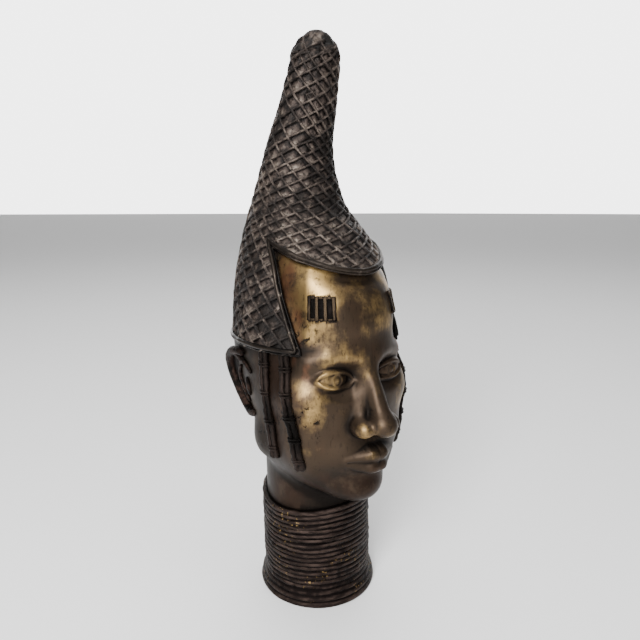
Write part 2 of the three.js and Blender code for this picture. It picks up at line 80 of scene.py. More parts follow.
MARK_HEIGHT = 15.5
MARK_Z = 236.5
MARK_ANGLE = 30.5
MARK_BARS = 4
MARK_RELIEF = 1.4
MARK_REACH = 62
MARK_ROOT = -2.5
STRAND_RADIUS = 3.6
EAR_TOP_Z = 197.5
EAR_LOBE_Z = 148.5
EAR_HEIGHT = EAR_TOP_Z - EAR_LOBE_Z
EAR_MIDDLE_Z = (EAR_TOP_Z + EAR_LOBE_Z) / 2
EAR_ANGLE = 104
EAR_SPREAD = 22
EAR_ROOT_ANGLE = 98
EAR_LIFT = 5.2
EAR_ROLL = 3.9

# Each strand: its angle at the hem, its angle and height at the foot, and how many ties it has
STRANDS = [(73, 65.5, 127, 4), (55, 44, 124, 5)]

# Places of the ties as shares of a strand, with the gap between the two coils of a tie
FIRST_TIE = 0.14
LAST_TIE = 0.93
COIL_GAP = 0.026

# Lattice of the cap by level: how far apart its ribs stand, how steeply they climb, and their section
RIB_LEVELS = [204, 282, 340, 400]
FALLING_GAPS = [15.7, 12.6, 12.6, 12.2]
RISING_GAPS = [20, 18.5, 15.8, 12.5]
FALLING_SLOPES = [42, 50, 42, 36]
RISING_SLOPES = [28, 20, 30, 38]
RIB_SECTION = [(-1.5, -3.4), (-1.15, -0.75), (-0.45, 0.1), (0.45, 0.1), (1.15, -0.75), (1.5, -3.4)]
RIB_STEP = 3.0
CELL_DEPTH = 0.8
CELL_SCOOP = 0.5
GROOVE_DEPTH = 0.9
SHELL_COLUMNS = 238
SHELL_STEP = 1.3
CROWN_LEVELS = 24

TURN = 2 * math.pi


# Random fields


def hashed(cells, seed):
    """A number from -1 to 1 for each whole-numbered cell, always the same for the same cell."""
    x, y, z = cells[..., 0], cells[..., 1], cells[..., 2]
    mixed = x * 374761393 + y * 668265263 + z * 2147483647 + seed * 974634777
    mixed = (mixed ^ (mixed >> 13)) * 1274126177
    mixed = mixed ^ (mixed >> 16)
    return (mixed & 0xFFFF) / 32767.5 - 1


def noise(points, size, seed=0):
    """Smooth lumps of about the given size, from -1 to 1."""
    scaled = np.asarray(points, float) / size + 0.37 * seed
    cell = np.floor(scaled).astype(np.int64)
    part = scaled - cell
    part = part * part * (3 - 2 * part)
    total = np.zeros(scaled.shape[:-1])
    for corner in np.ndindex(2, 2, 2):
        corner = np.array(corner)
        weight = np.prod(np.where(corner == 1, part, 1 - part), axis=-1)
        total += weight * hashed(cell + corner, seed)
    return total


def sway(points, size, seed):
    """A small wandering of each point, from -1 to 1 in each direction."""
    return np.stack([noise(points, size, seed + k) for k in range(3)], axis=1)


# Curves and directions


def smooth_step(low, high, values):
    """0 at the low value, 1 at the high one, with a smooth rise between."""
    t = np.clip((values - low) / (high - low), 0, 1)
    return t * t * (3 - 2 * t)


def bell(x):
    return np.exp(-(x**2))


def unit(vectors):
    return vectors / np.linalg.norm(vectors, axis=-1)[..., None]


def alike(*values):
    """Numbers and arrays brought to one shape."""
    return [value.astype(float) for value in np.broadcast_arrays(*values)]


# Distances to forms, below zero inside, and their smooth joints


def join(a, b, k):
    """The union of two forms, blended over a width."""
    h = np.clip(0.5 + 0.5 * (b - a) / k, 0, 1)
    return b * (1 - h) + a * h - k * h * (1 - h)


def common(a, b, k):
    """What two forms share, blended over a width."""
    return -join(-a, -b, k)


def ball(p, centre, radii):
    x, y, z = (p[i] - centre[i] for i in range(3))
    near = np.sqrt((x / radii[0]) ** 2 + (y / radii[1]) ** 2 + (z / radii[2]) ** 2)
    slope = np.sqrt((x / radii[0] ** 2) ** 2 + (y / radii[1] ** 2) ** 2 + (z / radii[2] ** 2) ** 2)
    return near * (near - 1) / np.maximum(slope, 1e-9)


def bar(p, start, end, start_radius, end_radius):
    """A round bar with ball ends, whose radius changes along it."""
    start, end = np.array(start, float), np.array(end, float)
    run = end - start
    x, y, z = (p[i] - start[i] for i in range(3))
    t = np.clip((x * run[0] + y * run[1] + z * run[2]) / (run @ run), 0, 1)
    off = np.sqrt((x - t * run[0]) ** 2 + (y - t * run[1]) ** 2 + (z - t * run[2]) ** 2)
    return off - (start_radius + (end_radius - start_radius) * t)


def curve_through(places, values):
    """A smooth curve through points, level beyond its ends and without overshoot."""
    places, values = np.array(places, float), np.array(values, float)
    steps = np.diff(places)
    slopes = np.diff(values) / steps
    tangents = np.zeros(len(places))
    tangents[0], tangents[-1] = slopes[0], slopes[-1]
    for i in range(1, len(steps)):
        if slopes[i - 1] * slopes[i] > 0:
            near, far = 2 * steps[i] + steps[i - 1], steps[i] + 2 * steps[i - 1]
            tangents[i] = (near + far) / (near / slopes[i - 1] + far / slopes[i])

    def value(at):
        x = np.clip(at, places[0], places[-1])
        i = np.clip(np.searchsorted(places, x, side="right") - 1, 0, len(steps) - 1)
        h = steps[i]
        t = (x - places[i]) / h
        return (
            (2 * t**3 - 3 * t**2 + 1) * values[i]
            + (t**3 - 2 * t**2 + t) * h * tangents[i]
            + (3 * t**2 - 2 * t**3) * values[i + 1]
            + (t**3 - t**2) * h * tangents[i + 1]
        )

    return value


# Cap outline at heights given as shares from the hem up to the foot of the dome

DOME_Z = HEIGHT - DOME_HEIGHT
CAP_SHARES = (0, 0.16, 0.26, 0.385, 0.535, 0.712, 0.889, 1)
CAP_HEIGHTS = [HEM_Z + share * (DOME_Z - HEM_Z) for share in CAP_SHARES]
cap_front = curve_through(CAP_HEIGHTS, [-66, -58, -54, -36, -9.5, -2, -10.5, -15.3])
cap_back = curve_through(CAP_HEIGHTS, [76.5, 77.7, 74.5, 69.4, 63, 50.5, 31.5, 21.9])
cap_half = curve_through(CAP_HEIGHTS, [61, 57.2, 54.6, 47.4, 35, 26.3, 21.1, 18.6])


def cap_section(z):
    """Centre, half depth and half width of the cap at a height."""
    rise = np.clip((z - DOME_Z) / DOME_HEIGHT, 0, 1)
    shrink = np.maximum(1 - rise**2, 1e-6) ** 0.5
    front, back = cap_front(z), cap_back(z)
    return (front + back) / 2 - 3 * rise, (back - front) / 2 * shrink, cap_half(z) * shrink


def cap_gap(p):
    """How far outside the plain cap a place is."""
    centre, depth, width = cap_section(p[2])
    near = np.sqrt((p[0] / width) ** 2 + ((p[1] - centre) / depth) ** 2)
    return (near - 1) * np.minimum(width, depth)


# The bare head and neck, from the large masses to the small


def cranium(p):
    skull = ball(p, [0, 9, 203], [57.5, 71, np.where(p[2] < 203, 80, 88)])
    under_cap = common(cap_gap(p) + CAP_PROUD, 222 - p[2], 14)
    return join(skull, under_cap, 7)


def face_masses(p, d):
    d = join(d, ball(p, [0, -12, 227], [45, 49, 41]), 14)
    d = join(d, ball(p, [0, -11, 157], [52, 54, 62]), 16)
    d = join(d, bar(p, [10, -43, 108], [37, 2, 130], 15, 14.5), 18)
    d = join(d, ball(p, [33, -34, 171], [18, 19, 15]), 18)
    d = join(d, ball(p, [27, -31, 138], [20, 22, 27]), 14)
    d = join(d, ball(p, [0, -55, CHIN_Z + 11], [16, 13, 12]), 10)
    return join(d, ball(p, [0, -50, MOUTH_Z + 3], [28, 20.5, 20]), 10)


def neck(p):
    across = p[0] / NECK_RADIUS
    along = (p[1] - COLLAR_LEAN * p[2]) / (NECK_RADIUS + 0.5)
    return common((np.hypot(across, along) - 1) * NECK_RADIUS, p[2] - 175, 10)


def brows(p, d):
    d = join(d, bar(p, [6, -55, BROW_Z - 2], [36, -43, BROW_Z + 1], 7.2, 5), 14)
    return common(d, -ball(p, [EYE_X - 0.5, -67, EYE_Z + 1], [18.5, 13.5, 11.5]), 7)


def nose(p, d):
    form = bar(p, [0, -60.5, BROW_Z - 6], [0, -77, NOSE_Z + 13], 5, 6.8)
    form = join(form, ball(p, [0, -78.5, NOSE_Z + 9], [9.4, 10, 8]), 6)
    form = join(form, ball(p, [11.6, -70, NOSE_Z + 6.8], [7, 9.5, 6.6]), 3.6)
    form = join(form, bar(p, [2.5, -59.5, BROW_Z - 12], [9.5, -65, NOSE_Z + 10], 4.5, 6), 5)
    d = join(d, form, 4.5)
    return common(d, -ball(p, [6.8, -74.5, NOSE_Z + 1.4], [3.5, 5.4, 3]), 1.6)


def mouth(p, d):
    d = common(d, -bar(p, [0, -76.5, NOSE_Z - 1], [0, -78.5, MOUTH_Z + 9], 1.7, 2.3), 2.4)
    upper = bar(p, [4, -71, MOUTH_Z + 4.2], [MOUTH_HALF - 2.5, -62.6, MOUTH_Z + 1], 5.7, 3.6)
    upper = join(upper, ball(p, [0, -71.6, MOUTH_Z + 3.2], [5, 5, 4]), 3)
    lower = bar(p, [4, -69.8, MOUTH_Z - 4.8], [MOUTH_HALF - 4, -62.4, MOUTH_Z - 2.2], 5.9, 3.7)
    lower = join(lower, ball(p, [0, -70.2, MOUTH_Z - 4.8], [8, 5.8, 5.4]), 3)
    d = join(join(d, upper, 1.6), lower, 1.6)
    middle = bar(p, [0, -79, MOUTH_Z - 0.4], [9, -75.6, MOUTH_Z + 0.5], 1.4, 1.4)
    corner = bar(p, [9, -75.6, MOUTH_Z + 0.5], [MOUTH_HALF - 1, -66, MOUTH_Z - 0.8], 1.4, 1)
    d = common(d, -np.minimum(middle, corner), 1.5)
    return common(d, -bar(p, [0, -77.5, MOUTH_Z - 14.8], [12, -71.5, MOUTH_Z - 13.2], 4, 3.2), 5)


def inside_eye(x, z):
    """How far inside the almond of an eye a point of the front view is."""
    u = (x - EYE_X) / EYE_WIDTH * 2
    height = z - EYE_Z - 1.2 * u
    swell = np.maximum(1 - np.abs(u) ** 2.1, 0) ** 0.575
    within = np.minimum(6.6 * swell - height, height + 5 * swell)
    beyond = -np.hypot((np.abs(u) - 1) * EYE_WIDTH / 2, height)
    return np.where(np.abs(u) < 1, within, beyond)


def eye_relief(x, z, y):
    """Lids and pupils, raised forward from the eyeballs."""
    inside = inside_eye(x, z)
    lid = 1.7 * bell((inside + 0.4) / 1.35)
    hollow_grime_and_shade = -0.9 * np.clip((inside - 0.8) / 1.5, 0, 1)
    off = np.hypot(x - EYE_X, z - EYE_Z - 0.6)
    pupil = (0.7 * bell((off - 3.9) / 0.7) + 0.9 * bell(off / 1.7)) * (inside > 0.6)
    return (lid + hollow_grime_and_shade + pupil) * np.clip((-y - 30) / 12, 0, 1)


def head_distance(points):
    """The bare head and neck, set back under the cap."""
    x, y, z = points[..., 0], points[..., 1], points[..., 2]
    side = np.abs(x)
    p = (side, y + eye_relief(side, z, y), z)
    d = face_masses(p, cranium(p))
    d = join(d, neck(p), 7)
    d = brows(p, d)
    d = nose(p, d)
    d = mouth(p, d)
    d = join(d, ball(p, [EYE_X, -48.2, EYE_Z], [14.2, 11.4, 10.4]), 2)
    set_back = np.minimum((z - HEM_Z) / 2 + 1.2, UNDER_CAP)
    covered = np.where(set_back < -8, d, common(d, cap_gap(p) + set_back, 2))
    return covered + (d - covered) * bare_share(np.arctan2(side, HEART[1] - y), z)


def bare_share(angle, z):
    """1 on the skin that the cap leaves bare, falling to 0 toward the edge of the cap."""
    from_flap = (flap_angle(z) - angle) / math.radians(26)
    from_visor = (visor_z(angle) - z - 3) / 12
    return smooth_step(0, 1, np.minimum(from_flap, from_visor))


def surface_along(origins, directions, distance, reach=150.0, step=2.5):
    """For each ray, the last point that is still inside a form."""
    low = np.zeros(directions.shape[:-1])
    for t in np.arange(step, reach, step):
        low = np.where(distance(origins + directions * t) < 0, t, low)
    high = low + step
    for _ in range(14):
        middle = (low + high) / 2
        within = distance(origins + directions * middle[..., None]) < 0
        low, high = np.where(within, middle, low), np.where(within, high, middle)
    return origins + directions * low[..., None]


# Skins


def band_faces(rows, sides, bands):
    """Four-sided faces between each ring of points and the next, counted round to the first ring."""
    here = np.arange(sides)
    after = (here + 1) % sides
    faces = []
    for i in range(bands):
        a, b = i * sides, (i + 1) % rows * sides
        faces += np.stack([a + here, a + after, b + after, b + here], axis=1).tolist()
    return faces


def make_ringed(name, rings, first, last):
    """A closed skin over rings of points, lowest ring first, with a point at each end."""
    rows, sides = rings.shape[:2]
    points = np.concatenate([rings.reshape(-1, 3), [first, last]])
    steps = [(i, (i + 1) % sides) for i in range(sides)]
    low, high = rows * sides, rows * sides + 1
    top = (rows - 1) * sides
    faces = [[low, b, a] for a, b in steps] + band_faces(rows, sides, rows - 1)
    faces += [[top + a, top + b, high] for a, b in steps]
    return make_object(name, points, faces)


def make_lofted(name, rings):
    """A closed skin over rings, its two ends closed at their middles."""
    return make_ringed(name, rings, rings[0].mean(axis=0), rings[-1].mean(axis=0))


def make_looped(name, rings):
    """A closed skin over rings of which the last joins the first."""
    rows, sides = rings.shape[:2]
    return make_object(name, rings.reshape(-1, 3), band_faces(rows, sides, rows))


def spread(*stretches):
    """Numbers from stretches of (start, end, count), each without its end."""
    return np.concatenate([np.linspace(a, b, n, endpoint=False) for a, b, n in stretches])


def make_object(name, points, faces):
    mesh = bpy.data.meshes.new(name)
    mesh.from_pydata((np.asarray(points) * METRES).tolist(), [], faces)
    mesh.validate()
    made = bpy.data.objects.new(name, mesh)
    bpy.context.scene.collection.objects.link(made)
    return made


def ray(azimuth, elevation):
    """A direction by its angle from the front and its climb."""
    azimuth, elevation = np.broadcast_arrays(azimuth, elevation)
    level = np.cos(elevation)
    return np.stack([np.sin(azimuth) * level, -np.cos(azimuth) * level, np.sin(elevation)], axis=-1)


HEART = np.array([0, 4, 165])


def skin_place(angle, z, out=0.0):
    """A place on the bare skin by its angle from the front, in radians, and its height."""
    angle, z, out = alike(angle, z, out)
    origins = np.stack([np.zeros_like(z), np.full_like(z, HEART[1]), z], axis=-1)
    directions = ray(angle, np.zeros_like(angle))
    return surface_along(origins, directions, head_distance) + directions * out[..., None]


def make_head():
    """The bare head and neck, finest over the face."""
    half = spread((0, 24, 44), (24, 60, 44), (60, 100, 20), (100, 180, 18))
    azimuths = np.radians(np.concatenate([-half[:0:-1], half, [180]]))
    elevations = np.radians(spread((-68, -50, 14), (-50, 32, 150), (32, 60, 22), (60, 88, 4)))
    directions = ray(azimuths[None, :], elevations[:, None])
    rings = surface_along(HEART, directions, head_distance)
    rings = rings + directions * cast_roughness(rings)[..., None]
    low = np.array([0, 0, COLLAR_HEIGHT / 2])
    high = surface_along(HEART, ray(np.array([0.0]), np.array([math.pi / 2])), head_distance)[0]
    return make_ringed("head", rings, low, high)


def cast_roughness(points):
    """The slight unevenness of a hand-finished casting."""
    return 0.22 * noise(points, 16, 1) + 0.08 * noise(points, 5, 2)


def collar_radius(z):
    """The collar widens over its lowest part, most at the foot."""
    return COLLAR_RADIUS + BASE_BAND_FLARE * (1 - smooth_step(0, BASE_FLARE_HEIGHT, z))


def make_collar():
    """Rings of wax thread stacked on a flared foot, dipping at the sides."""
    count = round((COLLAR_HEIGHT - COLLAR_FOOT) / RING_PITCH)
    pitch = (COLLAR_HEIGHT - COLLAR_FOOT) / count
    angles = np.linspace(0, TURN, COLLAR_SIDES, endpoint=False)
    across, forward = np.sin(angles), -np.cos(angles)
    circle = np.stack([across, forward, 0 * angles], axis=1) * 30
    rings = []

    def add(radius, z):
        z = z + (3 * np.cos(2 * angles) - 2 * np.cos(angles)) * z / COLLAR_HEIGHT
        rings.append(np.stack([radius * across, COLLAR_LEAN * z + radius * forward, z], axis=1))

    for back, z in ((1.2, 0), (0.3, 0.8), (0, 2), (0.2, 3.6), (0.9, 5)):
        add(collar_radius(z) - back + 0.35 * noise(circle + [0, 0, z * 2], 7, 5) * (z > 0), z)
    for i in range(count):
        foot = COLLAR_FOOT + i * pitch
        height = RING_RELIEF * (0.7 + 0.3 * noise(circle + [0, 0, 40 * i], 9, 6)) * min(0.55 + 0.06 * i, 1)
        above = 0.7 * noise(circle + [0, 0, 40 * i + 7], 13, 7)
        below = 0.7 * noise(circle + [0, 0, 40 * i - 13], 13, 8)
        rough = 0.4 * noise(circle + [0, 0, 40 * i + 21], 2.6, 9)
        for part, share in ((0.0, 0), (0.2, 0.66), (0.4, 0.97), (0.62, 0.95), (0.84, 0.6)):
            z = foot + part * pitch + (above if share else below * (i > 0))
            add(collar_radius(z) + (height + rough) * share, z)
    add(COLLAR_RADIUS - 1, COLLAR_HEIGHT)
    add(NECK_RADIUS - 4, COLLAR_HEIGHT - 0.5)
    top = [0, COLLAR_LEAN * COLLAR_HEIGHT, COLLAR_HEIGHT]
    return make_ringed("collar", np.stack(rings), [0, 0, 0], top)


# Cap

LAST_CENTRE_Z = HEIGHT - 26
TOP_TILT = math.radians(22)
CROWN_RADIUS = 19
POLE_LEVEL = LAST_CENTRE_Z + CROWN_RADIUS * math.pi / 2


def cap_tilt(z):
    """How far the plane of the rays tips down toward the front at a height, in radians."""
    share = (z - HEM_Z) / (LAST_CENTRE_Z - HEM_Z)
    return TOP_TILT * np.maximum(share, 0) ** 3


def cap_ray(angle, level):
    """Where a ray of the cap starts and points; levels tilt near the tip and fan out over the crown."""
    z = np.minimum(level, LAST_CENTRE_Z)
    lift = (level - z) / CROWN_RADIUS
    tilt = cap_tilt(z)
    origins = np.stack([np.zeros_like(z), cap_section(z)[0], z], axis=-1)
    level_part = [np.sin(angle), -np.cos(angle) * np.cos(tilt), -np.cos(angle) * np.sin(tilt)]
    pole_part = [np.zeros_like(tilt), -np.sin(tilt), np.cos(tilt)]
    parts = [a * np.cos(lift) + b * np.sin(lift) for a, b in zip(level_part, pole_part)]
    return origins, np.stack(parts, axis=-1)


def cap_distance(points):
    return cap_gap((points[..., 0], points[..., 1], points[..., 2]))


def cap_place(angle, level, out=0.0):
    """A place on the cap by its angle from the front, its level and how far it stands out."""
    angle, level, out = alike(angle, level, out)
    origins, directions = cap_ray(angle, level)
    from_front = np.abs(np.mod(angle + math.pi, TURN) - math.pi)
    flare = VISOR_FLARE * bell((level - visor_z(from_front)) / 9)
    flare = flare * np.clip((math.radians(VISOR_CORNER_ANGLE) + 0.05 - from_front) / 0.3, 0, 1)
    surface = surface_along(origins, directions, cap_distance, reach=100)
    return surface + directions * (out + flare)[..., None]


def cap_radius(level):
    """Mean radius of the cap at a level."""
    _, depth, width = cap_section(np.minimum(level, LAST_CENTRE_Z))
    lift = (np.maximum(level, LAST_CENTRE_Z) - LAST_CENTRE_Z) / CROWN_RADIUS
    return (depth + width) / 2 * np.maximum(np.cos(lift), 0.05)


RIB_TOP = LAST_CENTRE_Z + 22
RIB_GRID = np.arange(HEM_Z - 8, RIB_TOP, RIB_STEP / 2)


def lay_ribs(gaps, slopes, turn, seed):
    """Angles of one family of ribs on each level; the closest two merge where they crowd."""
    gap = np.interp(RIB_GRID, RIB_LEVELS, gaps)
    drifts = turn / np.tan(np.radians(np.interp(RIB_GRID, RIB_LEVELS, slopes)))
    room = TURN * cap_radius(RIB_GRID) / gap
    count = int(round(room[0]))
    at = np.arange(count) / count * TURN
    alive = np.arange(count)
    table = np.full((len(RIB_GRID), count), np.nan)
    for row, level in enumerate(RIB_GRID):
        table[row, alive] = at
        if row + 1 == len(RIB_GRID):
            break
        step = RIB_GRID[row + 1] - level
        wander = 0.35 * noise(np.stack([alive * 7.3, alive * 0 + level, alive * 0], axis=1), 18, seed)
        pace = drifts[row] * (1 + 0.12 * turn * np.cos(at))
        at = at + step * (pace + wander * 0.4) / cap_radius(level)
        ahead = np.concatenate([at[1:], [at[0] + TURN]])
        before = np.concatenate([[at[-1] - TURN], at[:-1]])
        at = at + 0.035 * step * ((ahead + before) / 2 - at)
        if len(at) > room[row + 1] + 0.5:
            gaps_now = np.concatenate([at[1:], [at[0] + TURN]]) - at
            tight = int(np.argmin(gaps_now))
            gone = alive[tight]
            table[row + 1, gone] = at[tight] + gaps_now[tight] * 0.5
            table[min(row + 2, len(RIB_GRID) - 1), gone] = at[tight] + gaps_now[tight]
            at = np.delete(at, tight)
            alive = np.delete(alive, tight)
    return table


def cell_share(table, angle, level):
    """How far along from one rib to the next a place lies, from 0 to 1."""
    row = np.round((level - RIB_GRID[0]) / (RIB_GRID[1] - RIB_GRID[0])).astype(int)
    row = np.clip(row, 0, len(RIB_GRID) - 1)
    share = np.zeros_like(angle)
    for r in np.unique(row):
        ribs = np.sort(np.mod(table[r][~np.isnan(table[r])], TURN))
        ribs = np.concatenate([[ribs[-1] - TURN], ribs, [ribs[0] + TURN]])
        here = row == r
        place = np.mod(angle[here], TURN)
        i = np.searchsorted(ribs, place) - 1
        share[here] = (place - ribs[i]) / (ribs[i + 1] - ribs[i])
    return share


def cell_address(falling, rising, angle, level):
    """How near a place is to the ribs above it, of either family, from 0 at the ribs below to 1."""
    return np.maximum(cell_share(falling, angle, level), 1 - cell_share(rising, angle, level))


def make_cap_shell(falling, rising):
    """The floor of the cells: each slopes in toward its upper ribs and ends in a groove under them."""
    angle = np.linspace(0, TURN, SHELL_COLUMNS, endpoint=False)[None, :]
    crown = np.linspace(LAST_CENTRE_Z, POLE_LEVEL - 1, CROWN_LEVELS)
    level = np.concatenate([np.arange(HEM_Z - 4, LAST_CENTRE_Z, SHELL_STEP), crown])
    angle, level = np.broadcast_arrays(angle, level[:, None])
    upper = cell_address(falling, rising, angle, level)
    plain = cap_place(angle, level)
    fade = np.clip((HEIGHT - 2 - plain[..., 2]) / 5, 0, 1)
    depth = CELL_DEPTH + CELL_SCOOP * smooth_step(0.2, 0.75, upper)
    depth = depth + GROOVE_DEPTH * smooth_step(0.7, 0.84, upper)
    rough = 0.3 * noise(plain, 3.2, 14) + 0.35 * noise(plain, 8, 15)
    rough = rough + 0.4 * np.minimum(noise(plain, 2.1, 17), 0)
    out = -depth * fade + rough - 0.1
    rings = cap_place(angle, level, out)
    low = np.array([0, 5, HEM_Z - 4])
    high = cap_place(np.array(0.0), np.array(POLE_LEVEL))
    return make_ringed("cap", rings, low, high)


def make_ribs(table, name, seed):
    """Raised threads along the ribs."""
    ribs = []
    for i in range(table.shape[1]):
        rows = np.where(~np.isnan(table[:, i]))[0]
        if len(rows) < 8:
            continue
        angle = table[rows, i]
        level = RIB_GRID[rows]
        wave = np.stack([level, 0 * level + 31 * i, 0 * level], axis=1)
        path = cap_place(angle + 0.5 * noise(wave, 6, seed) / cap_radius(level), level)
        fade = np.clip((HEIGHT - 2 - path[:, 2]) / 4, 0, 1)
        along = np.concatenate([[0], np.cumsum(np.linalg.norm(np.diff(path, axis=0), axis=1))])
        even = np.linspace(0, along[-1], max(int(along[-1] / RIB_STEP), 4))
        path = np.stack([np.interp(even, along, path[:, k]) for k in range(3)], axis=1)
        fade = np.interp(even, along, fade)
        height = 0.3 * noise(path, 6, seed + 1) - 0.1 - 2 * (1 - fade)
        width = np.interp(path[:, 2], [HEM_Z, HEIGHT], [1, 0.8]) * (1 + 0.25 * noise(path, 7, seed + 2))
        ribs.append(make_rib(f"{name}_{i}", path, height, width))
    return ribs


def make_rib(name, path, height, width):
    """One thread of the lattice, with the section of a rib, along a path on the cap."""
    ahead = unit(np.gradient(path, axis=0))
    outward = cap_normal(path)
    side = unit(np.cross(ahead, outward))
    corners = [path + side * (x * width)[:, None] + outward * (y + height)[:, None] for x, y in RIB_SECTION]
    return make_lofted(name, np.stack(corners, axis=1))


def cap_normal(points):
    steps = 0.5 * np.eye(3)
    slopes = [cap_distance(points + step) - cap_distance(points - step) for step in steps]
    return unit(np.stack(slopes, axis=-1))


def visor_z(angle):
    """Height of the visor's edge at an angle from the front."""
    share = np.abs(angle) / math.radians(VISOR_CORNER_ANGLE)
    return VISOR_FRONT_Z + (VISOR_CORNER_Z - VISOR_FRONT_Z) * share**1.6


def flap_angle(z):
    """Angle of the flap's edge at a height."""
    share = (z - HEM_Z) / (VISOR_CORNER_Z - HEM_Z)
    return np.radians(FLAP_HEM_ANGLE + (VISOR_CORNER_ANGLE - FLAP_HEM_ANGLE) * share)


def make_opening():
    """What is cut from the cap for the face."""
    across = np.linspace(-1, 1, 41)[None, :]
    up = np.linspace(0, 1, 21)[:, None]
    floor = HEM_Z - 22
    angle = across * math.radians(VISOR_CORNER_ANGLE) + 0 * up
    for _ in range(12):
        z = floor + up * (visor_z(angle) - floor)
        angle = across * flap_angle(z)
    inner, outer = cap_place(angle, z, -30), cap_place(angle, z, 12)
    points = np.concatenate([inner.reshape(-1, 3), outer.reshape(-1, 3)])
    grid = np.arange(angle.size).reshape(angle.shape)
    quads = np.stack([grid[:-1, :-1], grid[1:, :-1], grid[1:, 1:], grid[:-1, 1:]], axis=-1).reshape(-1, 4)
    sheets = np.stack([quads, quads[:, [0, 3, 2, 1]] + grid.size], axis=1).reshape(-1, 4)
    loop = np.concatenate([grid[0], grid[1:, -1], grid[-1, -2::-1], grid[-2:0:-1, 0]])
    after = np.roll(loop, -1)
    walls = np.stack([loop, after, after + grid.size, loop + grid.size], axis=1)
    return make_object("opening", points, np.concatenate([sheets, walls]).tolist())


def make_block(name, low, high):
    """An upright block between two of its corners."""
    corners = [(x, y, z) for z in (low[2], high[2]) for y in (low[1], high[1]) for x in (low[0], high[0])]
    faces = [[0, 2, 3, 1], [4, 5, 7, 6], [0, 1, 5, 4], [2, 6, 7, 3], [0, 4, 6, 2], [1, 3, 7, 5]]
    return make_object(name, np.array(corners, float), faces)


def make_rope(name, path, radius, sides=10, closed=False):
    """A round bar along a path of points; radius is one number or one for each point."""
    path = np.asarray(path, float)
    radius = np.array(np.broadcast_to(radius, (len(path),)))
    if closed:
        ahead = np.roll(path, -1, axis=0) - np.roll(path, 1, axis=0)
    else:
        ahead = unit(np.gradient(path, axis=0))
        reach = np.array([1, 0.72, 0.38])
        slim = np.array([0.25, 0.72, 0.93])
        start = path[0] - ahead[0] * (reach * radius[0])[:, None]
        end = path[-1] + ahead[-1] * (reach[::-1] * radius[-1])[:, None]
        path = np.concatenate([start, path, end])
        ahead = np.concatenate([[ahead[0]] * 3, ahead, [ahead[-1]] * 3])
        radius = np.concatenate([slim * radius[0], radius, slim[::-1] * radius[-1]])
    ahead = unit(ahead)
    outward = path - np.array([0, 10, 0])
    outward[:, 2] = 0
    side = unit(np.cross(ahead, outward))
    other = np.cross(ahead, side)
    angles = np.linspace(0, TURN, sides, endpoint=False)
    spokes = side[:, None] * np.cos(angles)[None, :, None] + other[:, None] * np.sin(angles)[None, :, None]
    rings = path[:, None] + radius[:, None, None] * spokes
    return make_looped(name, rings) if closed else make_lofted(name, rings)


def rim_loop(shift):
    """Angles and heights along the edge of the cap, moved into the cap by so many millimetres."""
    corner, z = math.radians(VISOR_CORNER_ANGLE), VISOR_CORNER_Z
    for _ in range(20):
        corner = float(flap_angle(z)) + shift / 56
        z = float(visor_z(corner)) + shift
    foot = HEM_Z + 1.2 + shift
    visor = np.linspace(-corner, corner, 150, endpoint=False)
    down = np.linspace(z, foot, 90, endpoint=False)
    low = float(flap_angle(foot)) + shift / 60
    hem = np.linspace(low, TURN - low, 330, endpoint=False)
    flap = flap_angle(down) + shift / 60
    angle = np.concatenate([visor, flap, hem, -flap[::-1]])
    level = np.concatenate([visor_z(visor) + shift, down, np.full(len(hem), foot), down[::-1]])
    return angle, level


def make_rim(name, shift, radius, out, seed):
    """An uneven cord along the edge of the cap."""
    angle, level = rim_loop(shift)
    path = cap_place(angle, level, out)
    for _ in range(3):
        path = (np.roll(path, 1, axis=0) + path + np.roll(path, -1, axis=0)) / 3
    path = path + 0.35 * sway(path, 9, seed)
    return make_rope(name, path, radius * (1 + 0.1 * noise(path, 6, seed)), sides=9, closed=True)


def make_edge_piece():
    """A roll round the face and along the hem, with a thin cord at its edge."""
    roll = make_rim("edge_roll", 1.9, 1.75, -0.1, 21)
    return boolean(roll, [make_rim("edge_cord", -0.6, 0.8, -0.7, 26)], "UNION")


# Dress on the skin


def make_strand(side, top_angle, foot_angle, foot_z, ties):
    """Two strings side by side, bound by wound ties at even steps, with a rounded end."""
    t = np.linspace(0, 1, 70)
    z = HEM_Z + 2 + t * (foot_z - HEM_Z - 2)
    angle = side * np.radians(top_angle + t * (foot_angle - top_angle))
    axis = np.array([0, HEART[1], 0])
    on_skin = skin_place(angle, z)
    reach = np.hypot(on_skin[:, 0], on_skin[:, 1] - axis[1])
    stiff = np.polyval(np.polyfit([0, 0.45, 1], np.interp([0, 0.45, 1], t, reach), 2), t)
    reach = np.clip(stiff, reach, reach + 1.5) + STRAND_RADIUS * 0.22
    wave = np.stack([z, 0 * z + 40 * side, 0 * z + foot_angle], axis=1)
    line = ray(angle, 0 * angle) * reach[:, None] + axis + 0.35 * sway(wave, 9, 41)
    line[:, 2] = z
    sideways = ray(angle + side * math.pi / 2, 0 * angle)
    swell = 1 + 0.35 * np.clip((t - 0.84) / 0.16, 0, 1) ** 2
    pieces = []
    for shift in (-1, 1):
        beads = 1 + 0.07 * np.sin(t * 75 + 2 * shift) + 0.12 * noise(wave + 9 * shift, 4, 45)
        path = line + sideways * (STRAND_RADIUS * 0.5 * shift * (1 - 0.35 * (swell - 1)))[:, None]
        radius = STRAND_RADIUS * 0.62 * swell * beads
        pieces.append(make_rope(f"string_{side}_{foot_z}_{shift}", path, radius, sides=9))
    for tie in np.linspace(FIRST_TIE, LAST_TIE, ties):
        for coil in (-0.5, 0.5):
            at = tie + coil * COIL_GAP
            pieces.append(make_tie(line, sideways, t, at, f"tie_{side}_{foot_z}_{at:.3f}"))
    return pieces


